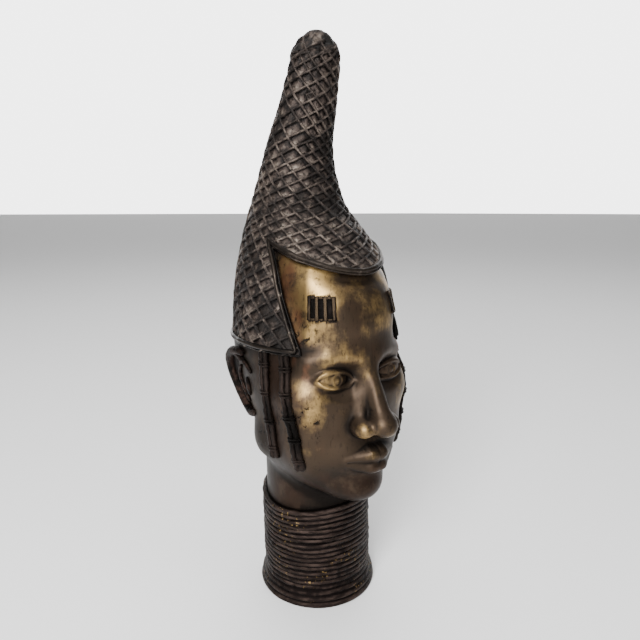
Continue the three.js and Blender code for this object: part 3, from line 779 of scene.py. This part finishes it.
def make_tie(line, sideways, t, at, name):
    """One turn of cord round a strand."""
    centre = np.array([np.interp(at, t, line[:, i]) for i in range(3)])
    across = np.array([np.interp(at, t, sideways[:, i]) for i in range(3)])
    across /= np.linalg.norm(across)
    upward = np.array([0, 0, 1])
    outward = np.cross(across, upward)
    angles = np.linspace(0, TURN, 18, endpoint=False)
    turn = np.linspace(0, TURN, 6, endpoint=False)
    wide, deep = STRAND_RADIUS * 1.15, STRAND_RADIUS * 0.76
    rings = []
    for angle in angles:
        spoke = across * math.cos(angle) + outward * math.sin(angle)
        place = centre + across * math.cos(angle) * wide + outward * math.sin(angle) * deep
        rings.append(place + 0.72 * (spoke * np.cos(turn)[:, None] + upward * np.sin(turn)[:, None]))
    return make_looped(name, np.array(rings))


def mark_frame(side, across=0.0):
    """A place so far across a forehead mark, and its sideways, upward and outward directions."""
    angle = side * (math.radians(MARK_ANGLE) + across / MARK_REACH)
    middle = skin_place(angle, MARK_Z)
    upward = skin_place(angle, MARK_Z + 3) - middle
    sideways = skin_place(angle + side * 0.05, MARK_Z) - middle
    upward /= np.linalg.norm(upward)
    outward = np.cross(sideways, upward)
    outward *= -np.sign(outward[1]) / np.linalg.norm(outward)
    sideways = np.cross(upward, outward)
    return middle, sideways, upward, outward


def make_pad(name, middle, axes, half_width, half_height, high):
    """A block rooted in the skin, whose face is rounded at its edges."""
    sideways, upward, outward = axes
    rows = []
    for shrink, height in ((0, MARK_ROOT), (0, high - 0.45), (0.18, high - 0.15), (0.5, high)):
        w, h = half_width - shrink, half_height - shrink
        corners = [(-w, -h), (0, -h), (w, -h), (w, 0), (w, h), (0, h), (-w, h), (-w, 0)]
        rows.append([middle + sideways * x + upward * y + outward * height for x, y in corners])
    rings = np.array(rows)
    if np.dot(np.cross(sideways, upward), outward) < 0:
        rings = rings[:, ::-1]
    return make_ringed(name, rings, middle + outward * MARK_ROOT, middle + outward * high)


def make_marks():
    """Upright bars between two end bars that follow the forehead."""
    pads = []
    width = MARK_WIDTH / (2 * MARK_BARS - 1)
    for side in (-1, 1):
        for i in range(2 * MARK_BARS - 1):
            middle, *axes = mark_frame(side, (i + 1 - MARK_BARS) * width)
            if i % 2 == 0:
                half = width * 0.42, MARK_HEIGHT / 2
                pads.append(make_pad(f"bar_{side}_{i}", middle, axes, *half, MARK_RELIEF))
            for end in (-1, 1):
                centre = middle + axes[1] * end * (MARK_HEIGHT / 2 - 0.4)
                half = width * 0.53, 0.8
                pads.append(make_pad(f"end_{side}_{i}_{end}", centre, axes, *half, MARK_RELIEF * 0.8))
    return pads


def ear_place(turn):
    """Angle, height and lift of the ear's roll at a turn, which is 0 at the back and rises to the top."""
    t = np.radians(turn)
    angle = EAR_ANGLE + EAR_SPREAD * np.cos(t) * (1 + 0.12 * np.sin(t))
    z = EAR_MIDDLE_Z + EAR_HEIGHT / 2 * np.sin(t)
    return angle, z, EAR_LIFT * np.cos(0.78 * (t - math.radians(5)))


def make_ear_roll(side):
    """The rolled outer edge of the ear."""
    angle, z, out = ear_place(np.linspace(100, -115, 90))
    path = skin_place(side * np.radians(angle), z, out)
    share = np.linspace(-1, 1, len(path))
    radius = EAR_ROLL * (1 - 0.4 * share**4) * (1 + 0.07 * noise(path, 7, 33))
    return make_rope(f"ear_roll_{side}", path, radius, sides=14)


def make_ear_web(side):
    """The shell of the ear, rising from the head to its roll."""
    along = np.linspace(0, 1, 40)[:, None]
    over = np.linspace(0, 1, 24)[None, :]
    back, height, lift = ear_place(80 - 165 * along)
    out = (lift - 0.4) * over**2.2 - 0.6
    angle = EAR_ROOT_ANGLE + over * (back - EAR_ROOT_ANGLE)
    rows = [skin_place(side * np.radians(angle), height + 0 * over, out)]
    for share in (0.96, 0.5, 0.05):
        under = EAR_ROOT_ANGLE + share * (back - EAR_ROOT_ANGLE)
        rows.append(skin_place(side * np.radians(under), height, -4 + 0 * along))
    rings = np.concatenate(rows, axis=1)[::-1]
    if side > 0:
        rings = rings[:, ::-1]
    return make_lofted(f"ear_web_{side}", rings)


def make_ear_fold(side):
    """The fold from the top of the roll forward and down onto the cheek."""
    t = np.linspace(0, 1, 24)
    angle = EAR_ROOT_ANGLE + 14 - 21 * t
    path = skin_place(side * np.radians(angle), EAR_TOP_Z - 3 - 4 * t - 6 * t**3, 2 * (1 - t))
    return make_rope(f"ear_fold_{side}", path, 2.6 - 0.8 * t, sides=10)


def make_ear_ridge(side):
    """The low ridge inside the roll, and the small flap before the ear's opening."""
    t = np.radians(np.linspace(62, -78, 40))
    angle = EAR_ANGLE - 2 + 0.52 * EAR_SPREAD * np.cos(t)
    z = EAR_MIDDLE_Z - 1 + 0.3 * EAR_HEIGHT * np.sin(t)
    ridge = skin_place(side * np.radians(angle), z, 0.9)
    height = EAR_MIDDLE_Z - 2 + np.linspace(6, -6, 12)
    front = EAR_ROOT_ANGLE - 1 + 0.05 * (height - height.mean()) ** 2
    flap = skin_place(side * np.radians(front), height, 0.2)
    return [
        make_rope(f"ear_ridge_{side}", ridge, 2 * np.sin(np.linspace(0.5, 2.8, 40)) ** 0.7, sides=12),
        make_rope(f"ear_flap_{side}", flap, 2.6 * np.sin(np.linspace(0.6, 2.5, 12)), sides=12),
    ]


def make_ear(side):
    return [make_ear_web(side), make_ear_roll(side), make_ear_fold(side), *make_ear_ridge(side)]


# Joining


def boolean(whole, others, operation):
    """Joins other objects to one, or cuts them from it, and removes them."""
    for other in others:
        step = whole.modifiers.new(other.name, "BOOLEAN")
        step.operation = operation
        step.solver = "MANIFOLD"
        step.object = other
    bpy.context.view_layer.update()
    depsgraph = bpy.context.evaluated_depsgraph_get()
    mesh = bpy.data.meshes.new_from_object(whole.evaluated_get(depsgraph))
    whole.modifiers.clear()
    whole.data = mesh
    for other in others:
        bpy.data.objects.remove(other)
    return whole


def neighbour_mean(values, edges, count):
    """Mean of each vertex's neighbours."""
    total = np.zeros_like(values)
    for column in range(values.shape[1]):
        total[:, column] = np.bincount(edges[:, 0], values[edges[:, 1], column], count)
        total[:, column] += np.bincount(edges[:, 1], values[edges[:, 0], column], count)
    links = np.bincount(edges.ravel(), minlength=count)
    return total / np.maximum(links, 1)[:, None]


def vertex_values(mesh, key):
    """The places or normals of the vertices, one row each."""
    values = np.empty(len(mesh.vertices) * 3)
    mesh.vertices.foreach_get(key, values)
    return values.reshape(-1, 3)


def relief_above(mesh, rounds):
    """How far each vertex stands above the surface smoothed over so many rounds, in millimetres."""
    points, normals = vertex_values(mesh, "co"), vertex_values(mesh, "normal")
    edges = np.empty(len(mesh.edges) * 2, np.int64)
    mesh.edges.foreach_get("vertices", edges)
    edges = edges.reshape(-1, 2)
    smooth = points
    for _ in range(rounds):
        smooth = neighbour_mean(smooth, edges, len(points))
    return ((points - smooth) * normals).sum(axis=1) / METRES


def put_mask(mesh, name, values):
    """Keeps a share from 0 to 1 for each vertex, for the materials to read."""
    layer = mesh.attributes.new(name, "FLOAT", "POINT")
    layer.data.foreach_set("value", np.clip(values, 0, 1).astype(np.float32))


def points_of(mesh):
    return vertex_values(mesh, "co") / METRES


def make_head_piece():
    """Head, neck, collar, ears, strands and forehead marks as one skin."""
    fittings = make_marks()
    for side in (-1, 1):
        fittings += make_ear(side)
        for strand in STRANDS:
            fittings += make_strand(side, *strand)
    fitted = boolean(fittings[0], fittings[1:], "UNION")
    return boolean(make_head(), [make_collar(), fitted], "UNION")


def lay_lattice():
    """The falling and the rising ribs of the cap."""
    falling = lay_ribs(FALLING_GAPS, FALLING_SLOPES, -1, 51)
    rising = lay_ribs(RISING_GAPS, RISING_SLOPES, 1, 53)
    return falling, rising


def make_cap_piece(falling, rising):
    """The latticed cap, open for the face."""
    ribs = make_ribs(falling, "falling", 55) + make_ribs(rising, "rising", 59)
    cap = boolean(make_cap_shell(falling, rising), ribs, "UNION")
    below_hem = make_block("below_hem", (-120, -120, HEM_Z - 60), (120, 120, HEM_Z))
    return boolean(cap, [make_opening(), below_hem], "DIFFERENCE")


def in_mark(points):
    """1 inside the rectangle of a forehead mark, 0 outside."""
    inside = np.zeros(len(points))
    for side in (-1, 1):
        middle, sideways, upward, outward = mark_frame(side)
        off = points - middle
        across, along, above = np.abs(off @ sideways), np.abs(off @ upward), np.abs(off @ outward)
        inside = np.maximum(inside, (across < MARK_WIDTH / 2) & (along < MARK_HEIGHT / 2) & (above < 8))
    return inside


def rubbed_share(x, angle, level):
    """Where the face is handled: most on the cheek and brow, less at the temple and chin; less also on the
    far side, turned from the key light, as painted shade.
    """
    back = 65 + 20 * smooth_step(HEM_Z - 12, HEM_Z + 4, level)
    handled = smooth_step(back, back - 25, angle) * (0.5 + 0.5 * smooth_step(8, 42, angle))
    # Less gold on the figure's left side, turned away from the camera and the key light: painted shade
    handled = handled * smooth_step(CHIN_Z, CHIN_Z + 62, level) * (1 - 0.35 * smooth_step(-4, 16, x))
    temple = smooth_step(28, 37, angle) * smooth_step(EYE_Z - 4, EYE_Z + 6, level)
    return handled * (1 - 0.5 * temple * smooth_step(HEM_Z + 14, HEM_Z + 2, level))


def pitted_share(angle, level):
    """The forehead and the cheek, toward the sides, where the casting is pitted."""
    forehead = smooth_step(BROW_Z + 4, BROW_Z + 14, level) * smooth_step(26, 38, angle)
    cheek = smooth_step(24, 36, angle) * smooth_step(EYE_Z - 8, EYE_Z - 20, level)
    return np.maximum(forehead, cheek * smooth_step(MOUTH_Z - 14, MOUTH_Z, level))


def flap_share(angle, level):
    """The skin in front of the flap."""
    flap = np.degrees(flap_angle(np.clip(level, HEM_Z, VISOR_CORNER_Z)))
    near = smooth_step(12, 2, flap - angle) * smooth_step(-9, -3, flap - angle)
    return near * smooth_step(HEM_Z - 25, HEM_Z, level)


def mask_head(mesh):
    """Masks for the patina and painted shade: what is dress, collar or ear, the hollows (grime and painted
    shade), the painted shade below the hem, and where the skin is worn (less on the far side, as painted
    shade).
    """
    points = points_of(mesh)
    height = head_distance(points)
    angle = np.abs(np.degrees(np.arctan2(points[:, 0], -(points[:, 1] - HEART[1]))))
    level = points[:, 2]
    collar_top = COLLAR_HEIGHT + 3
    collar = smooth_step(collar_top, collar_top - 2.5, level) * smooth_step(0.0, 0.8, height)
    put_mask(mesh, "collar", np.maximum(collar, level < 60))
    mark = in_mark(points)
    put_mask(mesh, "dress", np.maximum(smooth_step(0.3, 0.8, height), mark))
    put_mask(mesh, "mark", mark * smooth_step(0.2, MARK_RELIEF, height))
    put_mask(mesh, "ear", smooth_step(88, 96, angle) * smooth_step(138, 146, level))
    fine, broad = relief_above(mesh, 6), relief_above(mesh, 60)
    put_mask(mesh, "crest", 0.5 + fine * 1.6)
    # How sunken each place is, at a fine and a broad scale: darkened later as grime and as painted shade of
    # the hollows
    put_mask(mesh, "hollow_grime_and_shade", -0.1 - fine * 2.0 - broad * 0.06)
    high = 0.18 * smooth_step(BROW_Z, BROW_Z + 20, level)
    handled = rubbed_share(points[:, 0], angle, level)
    # Worn gold share, lowered on the far side as painted shade
    put_mask(mesh, "rubbed_and_shaded", handled * np.clip(0.64 + high + broad * 0.2, 0, 1))
    put_mask(mesh, "pitted", pitted_share(angle, level))
    # Painted shade on the skin just below the cap's hem, round the sides and back, strongest at the hem and
    # fading over a few millimetres
    under_hem = np.exp(-np.maximum(HEM_Z - level, 0) / 6)
    put_mask(mesh, "hem_shade", under_hem * smooth_step(FLAP_HEM_ANGLE - 6, FLAP_HEM_ANGLE, angle))
    put_mask(mesh, "flap", flap_share(angle, level))


def cap_address(points):
    """Angle and level of the ray of the cap that passes through a point."""
    level = points[:, 2].copy()
    for _ in range(8):
        z = np.minimum(level, LAST_CENTRE_Z)
        tilt = cap_tilt(z)
        behind = points[:, 1] - cap_section(z)[0]
        level = points[:, 2] - behind * np.tan(tilt)
    return np.arctan2(points[:, 0], -behind / np.cos(tilt)), level


def mask_cap(mesh, falling, rising):
    """Masks for the cap: the tops of its ribs, the grooves under them, which are painted as shade, and the
    sills above, which are painted as lit.
    """
    points = points_of(mesh)
    proud = cap_distance(points)
    angle, level = cap_address(points)
    upper = cell_address(falling, rising, angle, level)
    handled = 1 - 0.35 * smooth_step(HEIGHT - 110, HEIGHT - 30, level)
    put_mask(mesh, "crest", smooth_step(-0.9, 0.3, proud) * handled)
    # Painted shadow in the deep groove under the upper ribs of each cell
    put_mask(mesh, "groove", smooth_step(0.62, 0.8, upper) * smooth_step(-0.5, -1.1, proud))
    # Painted highlight: the shallow lower part of each cell, just above the ribs below it, is lightened as
    # if lit from above
    put_mask(mesh, "lit_sill", smooth_step(0.6, 0.25, upper) * smooth_step(-0.2, -0.7, proud) * handled)


head = make_head_piece()
head.name = "bronze_head_skin"
mask_head(head.data)
falling_ribs, rising_ribs = lay_lattice()
cap = make_cap_piece(falling_ribs, rising_ribs)
cap.name = "bronze_cap_skin"
mask_cap(cap.data, falling_ribs, rising_ribs)
edge = make_edge_piece()
edge.name = "bronze_edge_skin"
# Crest of the roll, worn brown; the roll's foot and the thin cord, close to the cap, stay near-black,
# partly their own colour and partly painted shade of the groove beside the roll
put_mask(edge.data, "crest", smooth_step(0.7, 1.5, cap_distance(points_of(edge.data))))


# Materials


class Nodes:
    """Short calls for building a node tree."""

    def __init__(self, name):
        self.material = bpy.data.materials.new(name)
        self.material.use_nodes = True
        self.tree = self.material.node_tree
        self.shader = self.tree.nodes["Principled BSDF"]

    def node(self, kind, inputs=None, **settings):
        made = self.tree.nodes.new(kind)
        for key, value in settings.items():
            setattr(made, key, value)
        for key, value in (inputs or {}).items():
            self.feed(made.inputs[key], value)
        return made

    def feed(self, socket, value):
        if isinstance(value, bpy.types.NodeSocket):
            self.tree.links.new(value, socket)
        else:
            socket.default_value = value

    def mask(self, name):
        return self.node("ShaderNodeAttribute", attribute_name=name).outputs["Fac"]

    def lumps(self, scale, detail, rough, stretch=(1, 1, 1)):
        """Noise fixed to the object, drawn out along an axis where the stretch is below 1."""
        where = self.node("ShaderNodeTexCoord").outputs["Object"]
        place = self.node("ShaderNodeMapping", {"Vector": where, "Scale": stretch}).outputs["Vector"]
        inputs = {"Vector": place, "Scale": scale, "Detail": detail, "Roughness": rough}
        return self.node("ShaderNodeTexNoise", inputs).outputs["Fac"]

    def maths(self, operation, a, b):
        return self.node("ShaderNodeMath", {0: a, 1: b}, operation=operation).outputs[0]

    def times(self, a, b):
        return self.maths("MULTIPLY", a, b)

    def plus(self, a, b):
        return self.maths("ADD", a, b)

    def minus(self, a, b):
        return self.maths("SUBTRACT", a, b)

    def between(self, value, low, high, out_low=0.0, out_high=1.0):
        inputs = {"Value": value, "From Min": low, "From Max": high, "To Min": out_low, "To Max": out_high}
        return self.node("ShaderNodeMapRange", inputs, interpolation_type="SMOOTHSTEP").outputs["Result"]

    def blend(self, share, a, b):
        made = self.node("ShaderNodeMix", data_type="RGBA")
        self.feed(made.inputs[0], share)
        self.feed(made.inputs[6], a)
        self.feed(made.inputs[7], b)
        return made.outputs[2]

    def surface(self, colour, metallic, specular, roughness):
        sockets = ("Base Color", "Metallic", "Specular IOR Level", "Roughness")
        for name, value in zip(sockets, (colour, metallic, specular, roughness)):
            self.feed(self.shader.inputs[name], value)

    def bump(self, height, strength, distance):
        inputs = {"Height": height, "Strength": strength, "Distance": distance}
        self.feed(self.shader.inputs["Normal"], self.node("ShaderNodeBump", inputs).outputs["Normal"])


def colour(red, green, blue):
    return (red, green, blue, 1)


GOLD = colour(0.47, 0.305, 0.115)
BROWN = colour(0.044, 0.030, 0.020)
UMBER = colour(0.017, 0.0125, 0.0095)
COPPER = colour(0.24, 0.092, 0.045)
# Near-black: the strands' own colour, casting pits and grime, and also painted shade in hollows, in the
# cap's grooves, below the hem and at the foot of the rolled edge
GRIME_AND_SHADE = colour(0.004, 0.0032, 0.0028)
EAR_BROWN = colour(0.030, 0.018, 0.014)
MARK_WORN = colour(0.060, 0.042, 0.026)
COLLAR_DARK = colour(0.005, 0.0033, 0.0030)
COLLAR_WORN = colour(0.050, 0.035, 0.029)
EDGE_WORN = colour(0.028, 0.021, 0.016)
CAP_DARK = colour(0.012, 0.009, 0.0075)
CAP_MIDDLE = colour(0.050, 0.036, 0.030)
CAP_WORN_AND_LIT = colour(0.19, 0.155, 0.125)


def skin_colour(n, clouds, brushed):
    """Gold where the casting is rubbed, and less on the far side as painted shade, over brown and umber,
    with reddish copper by the flaps; the hollows go near-black as grime and painted shade.
    """
    uneven = n.plus(n.times(n.minus(clouds, 0.5), 1.6), n.times(brushed, 0.4))
    rubbed_and_shaded = n.minus(n.plus(n.mask("rubbed_and_shaded"), uneven), 0.2)
    base = n.blend(n.between(n.mask("rubbed_and_shaded"), 0.05, 0.4), UMBER, BROWN)
    base = n.blend(n.between(rubbed_and_shaded, 0.42, 1.05), base, GOLD)
    reddish = n.between(n.lumps(26, 4, 0.6, (1, 1, 0.6)), 0.44, 0.60)
    base = n.blend(n.times(reddish, n.between(n.mask("flap"), 0.0, 0.8, 0.04, 0.85)), base, COPPER)
    base = n.blend(n.times(n.between(n.lumps(55, 5, 0.7), 0.50, 0.66), 0.7), base, BROWN)
    base = n.blend(n.times(n.between(n.lumps(480, 3, 0.6, (1, 1, 0.35)), 0.55, 0.68), 0.5), base, UMBER)
    # Sunken places go near-black: grime, and painted shade of the hollows
    return n.blend(n.times(n.between(n.mask("hollow_grime_and_shade"), 0.05, 0.8), 0.8), base, GRIME_AND_SHADE), rubbed_and_shaded


def dress_colour(n, clouds, crest):
    """Nearly black strands, brown ears and marks, and brown-worn rings flecked with gold."""
    worn = n.times(n.between(crest, 0.55, 0.95), n.between(clouds, 0.35, 0.65))
    dress = n.blend(n.times(worn, 0.4), GRIME_AND_SHADE, COLLAR_WORN)
    mottle = n.between(n.lumps(170, 4, 0.7), 0.42, 0.60)
    ear = n.blend(n.times(mottle, n.between(crest, 0.3, 0.8)), GRIME_AND_SHADE, EAR_BROWN)
    dress = n.blend(n.mask("ear"), dress, ear)
    proud = n.times(n.between(n.mask("mark"), 0.45, 0.95), n.between(clouds, 0.3, 0.6))
    dress = n.blend(proud, dress, MARK_WORN)
    streaks = n.between(n.lumps(70, 4, 0.7, (1, 1, 4)), 0.40, 0.62, 0.25, 1.0)
    band = n.blend(n.times(n.between(crest, 0.45, 0.95), streaks), COLLAR_DARK, COLLAR_WORN)
    patches = n.between(n.lumps(40, 2, 0.5), 0.50, 0.62, 0.0, 0.45)
    flecks = n.between(n.lumps(420, 3, 0.6), 0.60, 0.68)
    band = n.blend(n.times(flecks, patches), band, GOLD)
    return n.blend(n.mask("collar"), dress, band)


def head_bronze():
    """Rubbed gold skin over dark brown, less gold on the far side as painted shade, with hollows darkened
    as grime and painted shade, painted shade below the hem, black dress and small casting pits.
    """
    n = Nodes("head_bronze")
    clouds = n.lumps(30, 5, 0.6)
    brushed = n.lumps(110, 4, 0.65, (1, 1, 0.10))
    skin, rubbed_and_shaded = skin_colour(n, clouds, brushed)
    covered = n.maths("MAXIMUM", n.mask("dress"), n.mask("collar"))
    base = n.blend(covered, skin, dress_colour(n, clouds, n.mask("crest")))
    # Painted shade below the cap's hem
    base = n.blend(n.times(n.mask("hem_shade"), 0.8), base, GRIME_AND_SHADE)
    pit_zone = n.times(n.between(n.lumps(34, 3, 0.6), 0.49, 0.57), n.mask("pitted"))
    pits = n.times(n.between(n.lumps(290, 3, 0.7, (1, 1, 0.7)), 0.555, 0.60), pit_zone)
    base = n.blend(pits, base, GRIME_AND_SHADE)
    smooth = n.between(rubbed_and_shaded, 0.1, 0.8, 0.50, 0.42)
    rough = n.plus(smooth, n.times(n.minus(brushed, 0.5), 0.16))
    rough = n.maths("MAXIMUM", rough, n.times(covered, 0.55))
    n.surface(base, n.between(covered, 0, 1, 0.85, 0.9), 0.2, rough)
    grain = n.plus(n.times(brushed, 0.35), n.times(n.lumps(260, 4, 0.6), 0.4))
    grain = n.minus(grain, n.times(pits, 0.9))
    grain = n.plus(grain, n.times(n.lumps(330, 5, 0.7), n.times(covered, 5.5)))
    n.bump(grain, 0.5, 0.0004)
    return n.material


def cap_bronze():
    """Dark rough casting with black painted shade in the grooves under the ribs, and a grey-brown bloom
    where it is worn, also laid on the lower sills of the cells as a painted highlight.
    """
    n = Nodes("cap_bronze")
    specks = n.times(n.minus(n.lumps(150, 4, 0.6), 0.5), 0.9)
    tone = n.plus(n.lumps(22, 5, 0.6), specks)
    base = n.blend(n.between(tone, 0.36, 0.62), CAP_DARK, CAP_MIDDLE)
    # Worn rib tops and the painted highlight on the cells' lower sills both take the light worn colour
    proud = n.maths("MAXIMUM", n.times(n.mask("crest"), 0.75), n.mask("lit_sill"))
    worn = n.times(proud, n.between(tone, 0.42, 0.72))
    base = n.blend(worn, base, CAP_WORN_AND_LIT)
    base = n.blend(n.between(n.lumps(420, 5, 0.65), 0.50, 0.34), base, CAP_DARK)
    # Painted shadow: the grooves under the ribs turn near-black
    base = n.blend(n.times(n.mask("groove"), 0.9), base, GRIME_AND_SHADE)
    n.surface(base, 0.6, 0.35, n.between(worn, 0.0, 0.8, 0.58, 0.40))
    n.bump(n.lumps(300, 5, 0.7), 0.8, 0.0012)
    return n.material


def edge_bronze():
    """Nearly black rolled edge, its brown showing where it is handled on the crest; its foot and the thin
    cord stay near-black, partly its own colour and partly painted shade of the groove beside the roll.
    """
    n = Nodes("edge_bronze")
    tone = n.lumps(45, 5, 0.65)
    handled = n.times(n.mask("crest"), n.between(tone, 0.35, 0.62, 0.3, 1.0))
    # Near-black below the crest: the edge's own dark colour together with painted shade at the foot of the
    # roll
    base = n.blend(handled, GRIME_AND_SHADE, EDGE_WORN)
    base = n.blend(n.times(n.between(n.lumps(190, 3, 0.6), 0.62, 0.74), 0.4), base, CAP_WORN_AND_LIT)
    n.surface(base, 0.7, 0.2, n.between(tone, 0.35, 0.7, 0.46, 0.30))
    n.bump(n.lumps(300, 4, 0.6), 0.5, 0.0006)
    return n.material


for piece, material in ((head, head_bronze()), (cap, cap_bronze()), (edge, edge_bronze())):
    piece.data.materials.clear()
    piece.data.materials.append(material)
    piece.data.polygons.foreach_set("use_smooth", [True] * len(piece.data.polygons))
    piece.data.set_sharp_from_angle(angle=math.radians(60))
    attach(piece, "root")
    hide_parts("bronze_head")


# Studio, in metres

FLOOR_REACH = 60
FLOOR_PALE = colour(0.93, 0.93, 0.93)
BACKDROP_BEARING = math.radians(35)
CAMERA_AZIMUTH = math.radians(35)
CAMERA_DISTANCE = 0.410
CAMERA_HEIGHT = 0.300
CAMERA_PITCH = math.radians(11.4)
CAMERA_TURN = math.radians(0.28)
SENSOR_WIDTH = 36
FOCAL_SHARE = 540 / 640


def make_floor():
    """A wide plain pale floor."""
    reach = FLOOR_REACH / METRES
    corners = [(x * reach, y * reach, 0) for x, y in ((-1, -1), (1, -1), (1, 1), (-1, 1))]
    made = make_object("floor", corners, [(0, 1, 2, 3)])
    pale = bpy.data.materials.new("pale_floor")
    pale.use_nodes = True
    shader = pale.node_tree.nodes["Principled BSDF"]
    shader.inputs["Base Color"].default_value = FLOOR_PALE
    shader.inputs["Roughness"].default_value = 0.8
    made.data.materials.append(pale)
    return made


def make_world():
    """A pale backdrop ahead of the camera and a dim room behind it."""
    world = bpy.data.worlds.new("studio")
    bpy.context.scene.world = world
    world.use_nodes = True
    tree = world.node_tree
    where = tree.nodes.new("ShaderNodeTexCoord")
    toward = tree.nodes.new("ShaderNodeVectorMath")
    toward.operation = "DOT_PRODUCT"
    toward.inputs[1].default_value = (math.sin(BACKDROP_BEARING), math.cos(BACKDROP_BEARING), 0)
    ramp = tree.nodes.new("ShaderNodeMapRange")
    ramp.interpolation_type = "SMOOTHSTEP"
    for socket, value in (("From Min", 0.68), ("From Max", 0.84), ("To Min", 0.16), ("To Max", 4.5)):
        ramp.inputs[socket].default_value = value
    tree.links.new(where.outputs["Generated"], toward.inputs[0])
    tree.links.new(toward.outputs["Value"], ramp.inputs["Value"])
    tree.links.new(ramp.outputs["Result"], tree.nodes["Background"].inputs["Strength"])
    tree.nodes["Background"].inputs["Color"].default_value = (1, 1, 1, 1)


def add_light(name, place, target, size, power):
    """A rectangular soft light that faces a target."""
    light = bpy.data.lights.new(name, "AREA")
    light.shape = "RECTANGLE"
    light.size, light.size_y = size
    light.energy = power
    lamp = bpy.data.objects.new(name, light)
    lamp.location = place
    lamp.rotation_euler = (Vector(target) - Vector(place)).to_track_quat("-Z", "Y").to_euler()
    bpy.context.scene.collection.objects.link(lamp)


def add_camera():
    """A view from the front and the figure's right, a little from above."""
    data = bpy.data.cameras.new("camera")
    data.sensor_width = SENSOR_WIDTH
    data.lens = SENSOR_WIDTH * FOCAL_SHARE
    data.clip_start = 0.01
    made = bpy.data.objects.new("camera", data)
    away = -CAMERA_DISTANCE * math.sin(CAMERA_AZIMUTH), -CAMERA_DISTANCE * math.cos(CAMERA_AZIMUTH)
    made.location = (*away, CAMERA_HEIGHT)
    bearing = CAMERA_AZIMUTH + CAMERA_TURN
    level = math.cos(CAMERA_PITCH)
    ahead = Vector((math.sin(bearing) * level, math.cos(bearing) * level, -math.sin(CAMERA_PITCH)))
    made.rotation_euler = ahead.to_track_quat("-Z", "Y").to_euler()
    bpy.context.scene.collection.objects.link(made)
    bpy.context.scene.camera = made


floor = make_floor()
make_world()
add_light("key", (-1.0, -0.72, 0.85), (0, 0, 0.22), (0.62, 0.9), 45)
add_light("top", (0.1, 0.2, 2.4), (0, 0, 0), (2.2, 2.2), 40)
add_light("fill", (0.6, -1.1, 0.9), (0, 0, 0.2), (0.12, 0.7), 1.5)
add_camera()
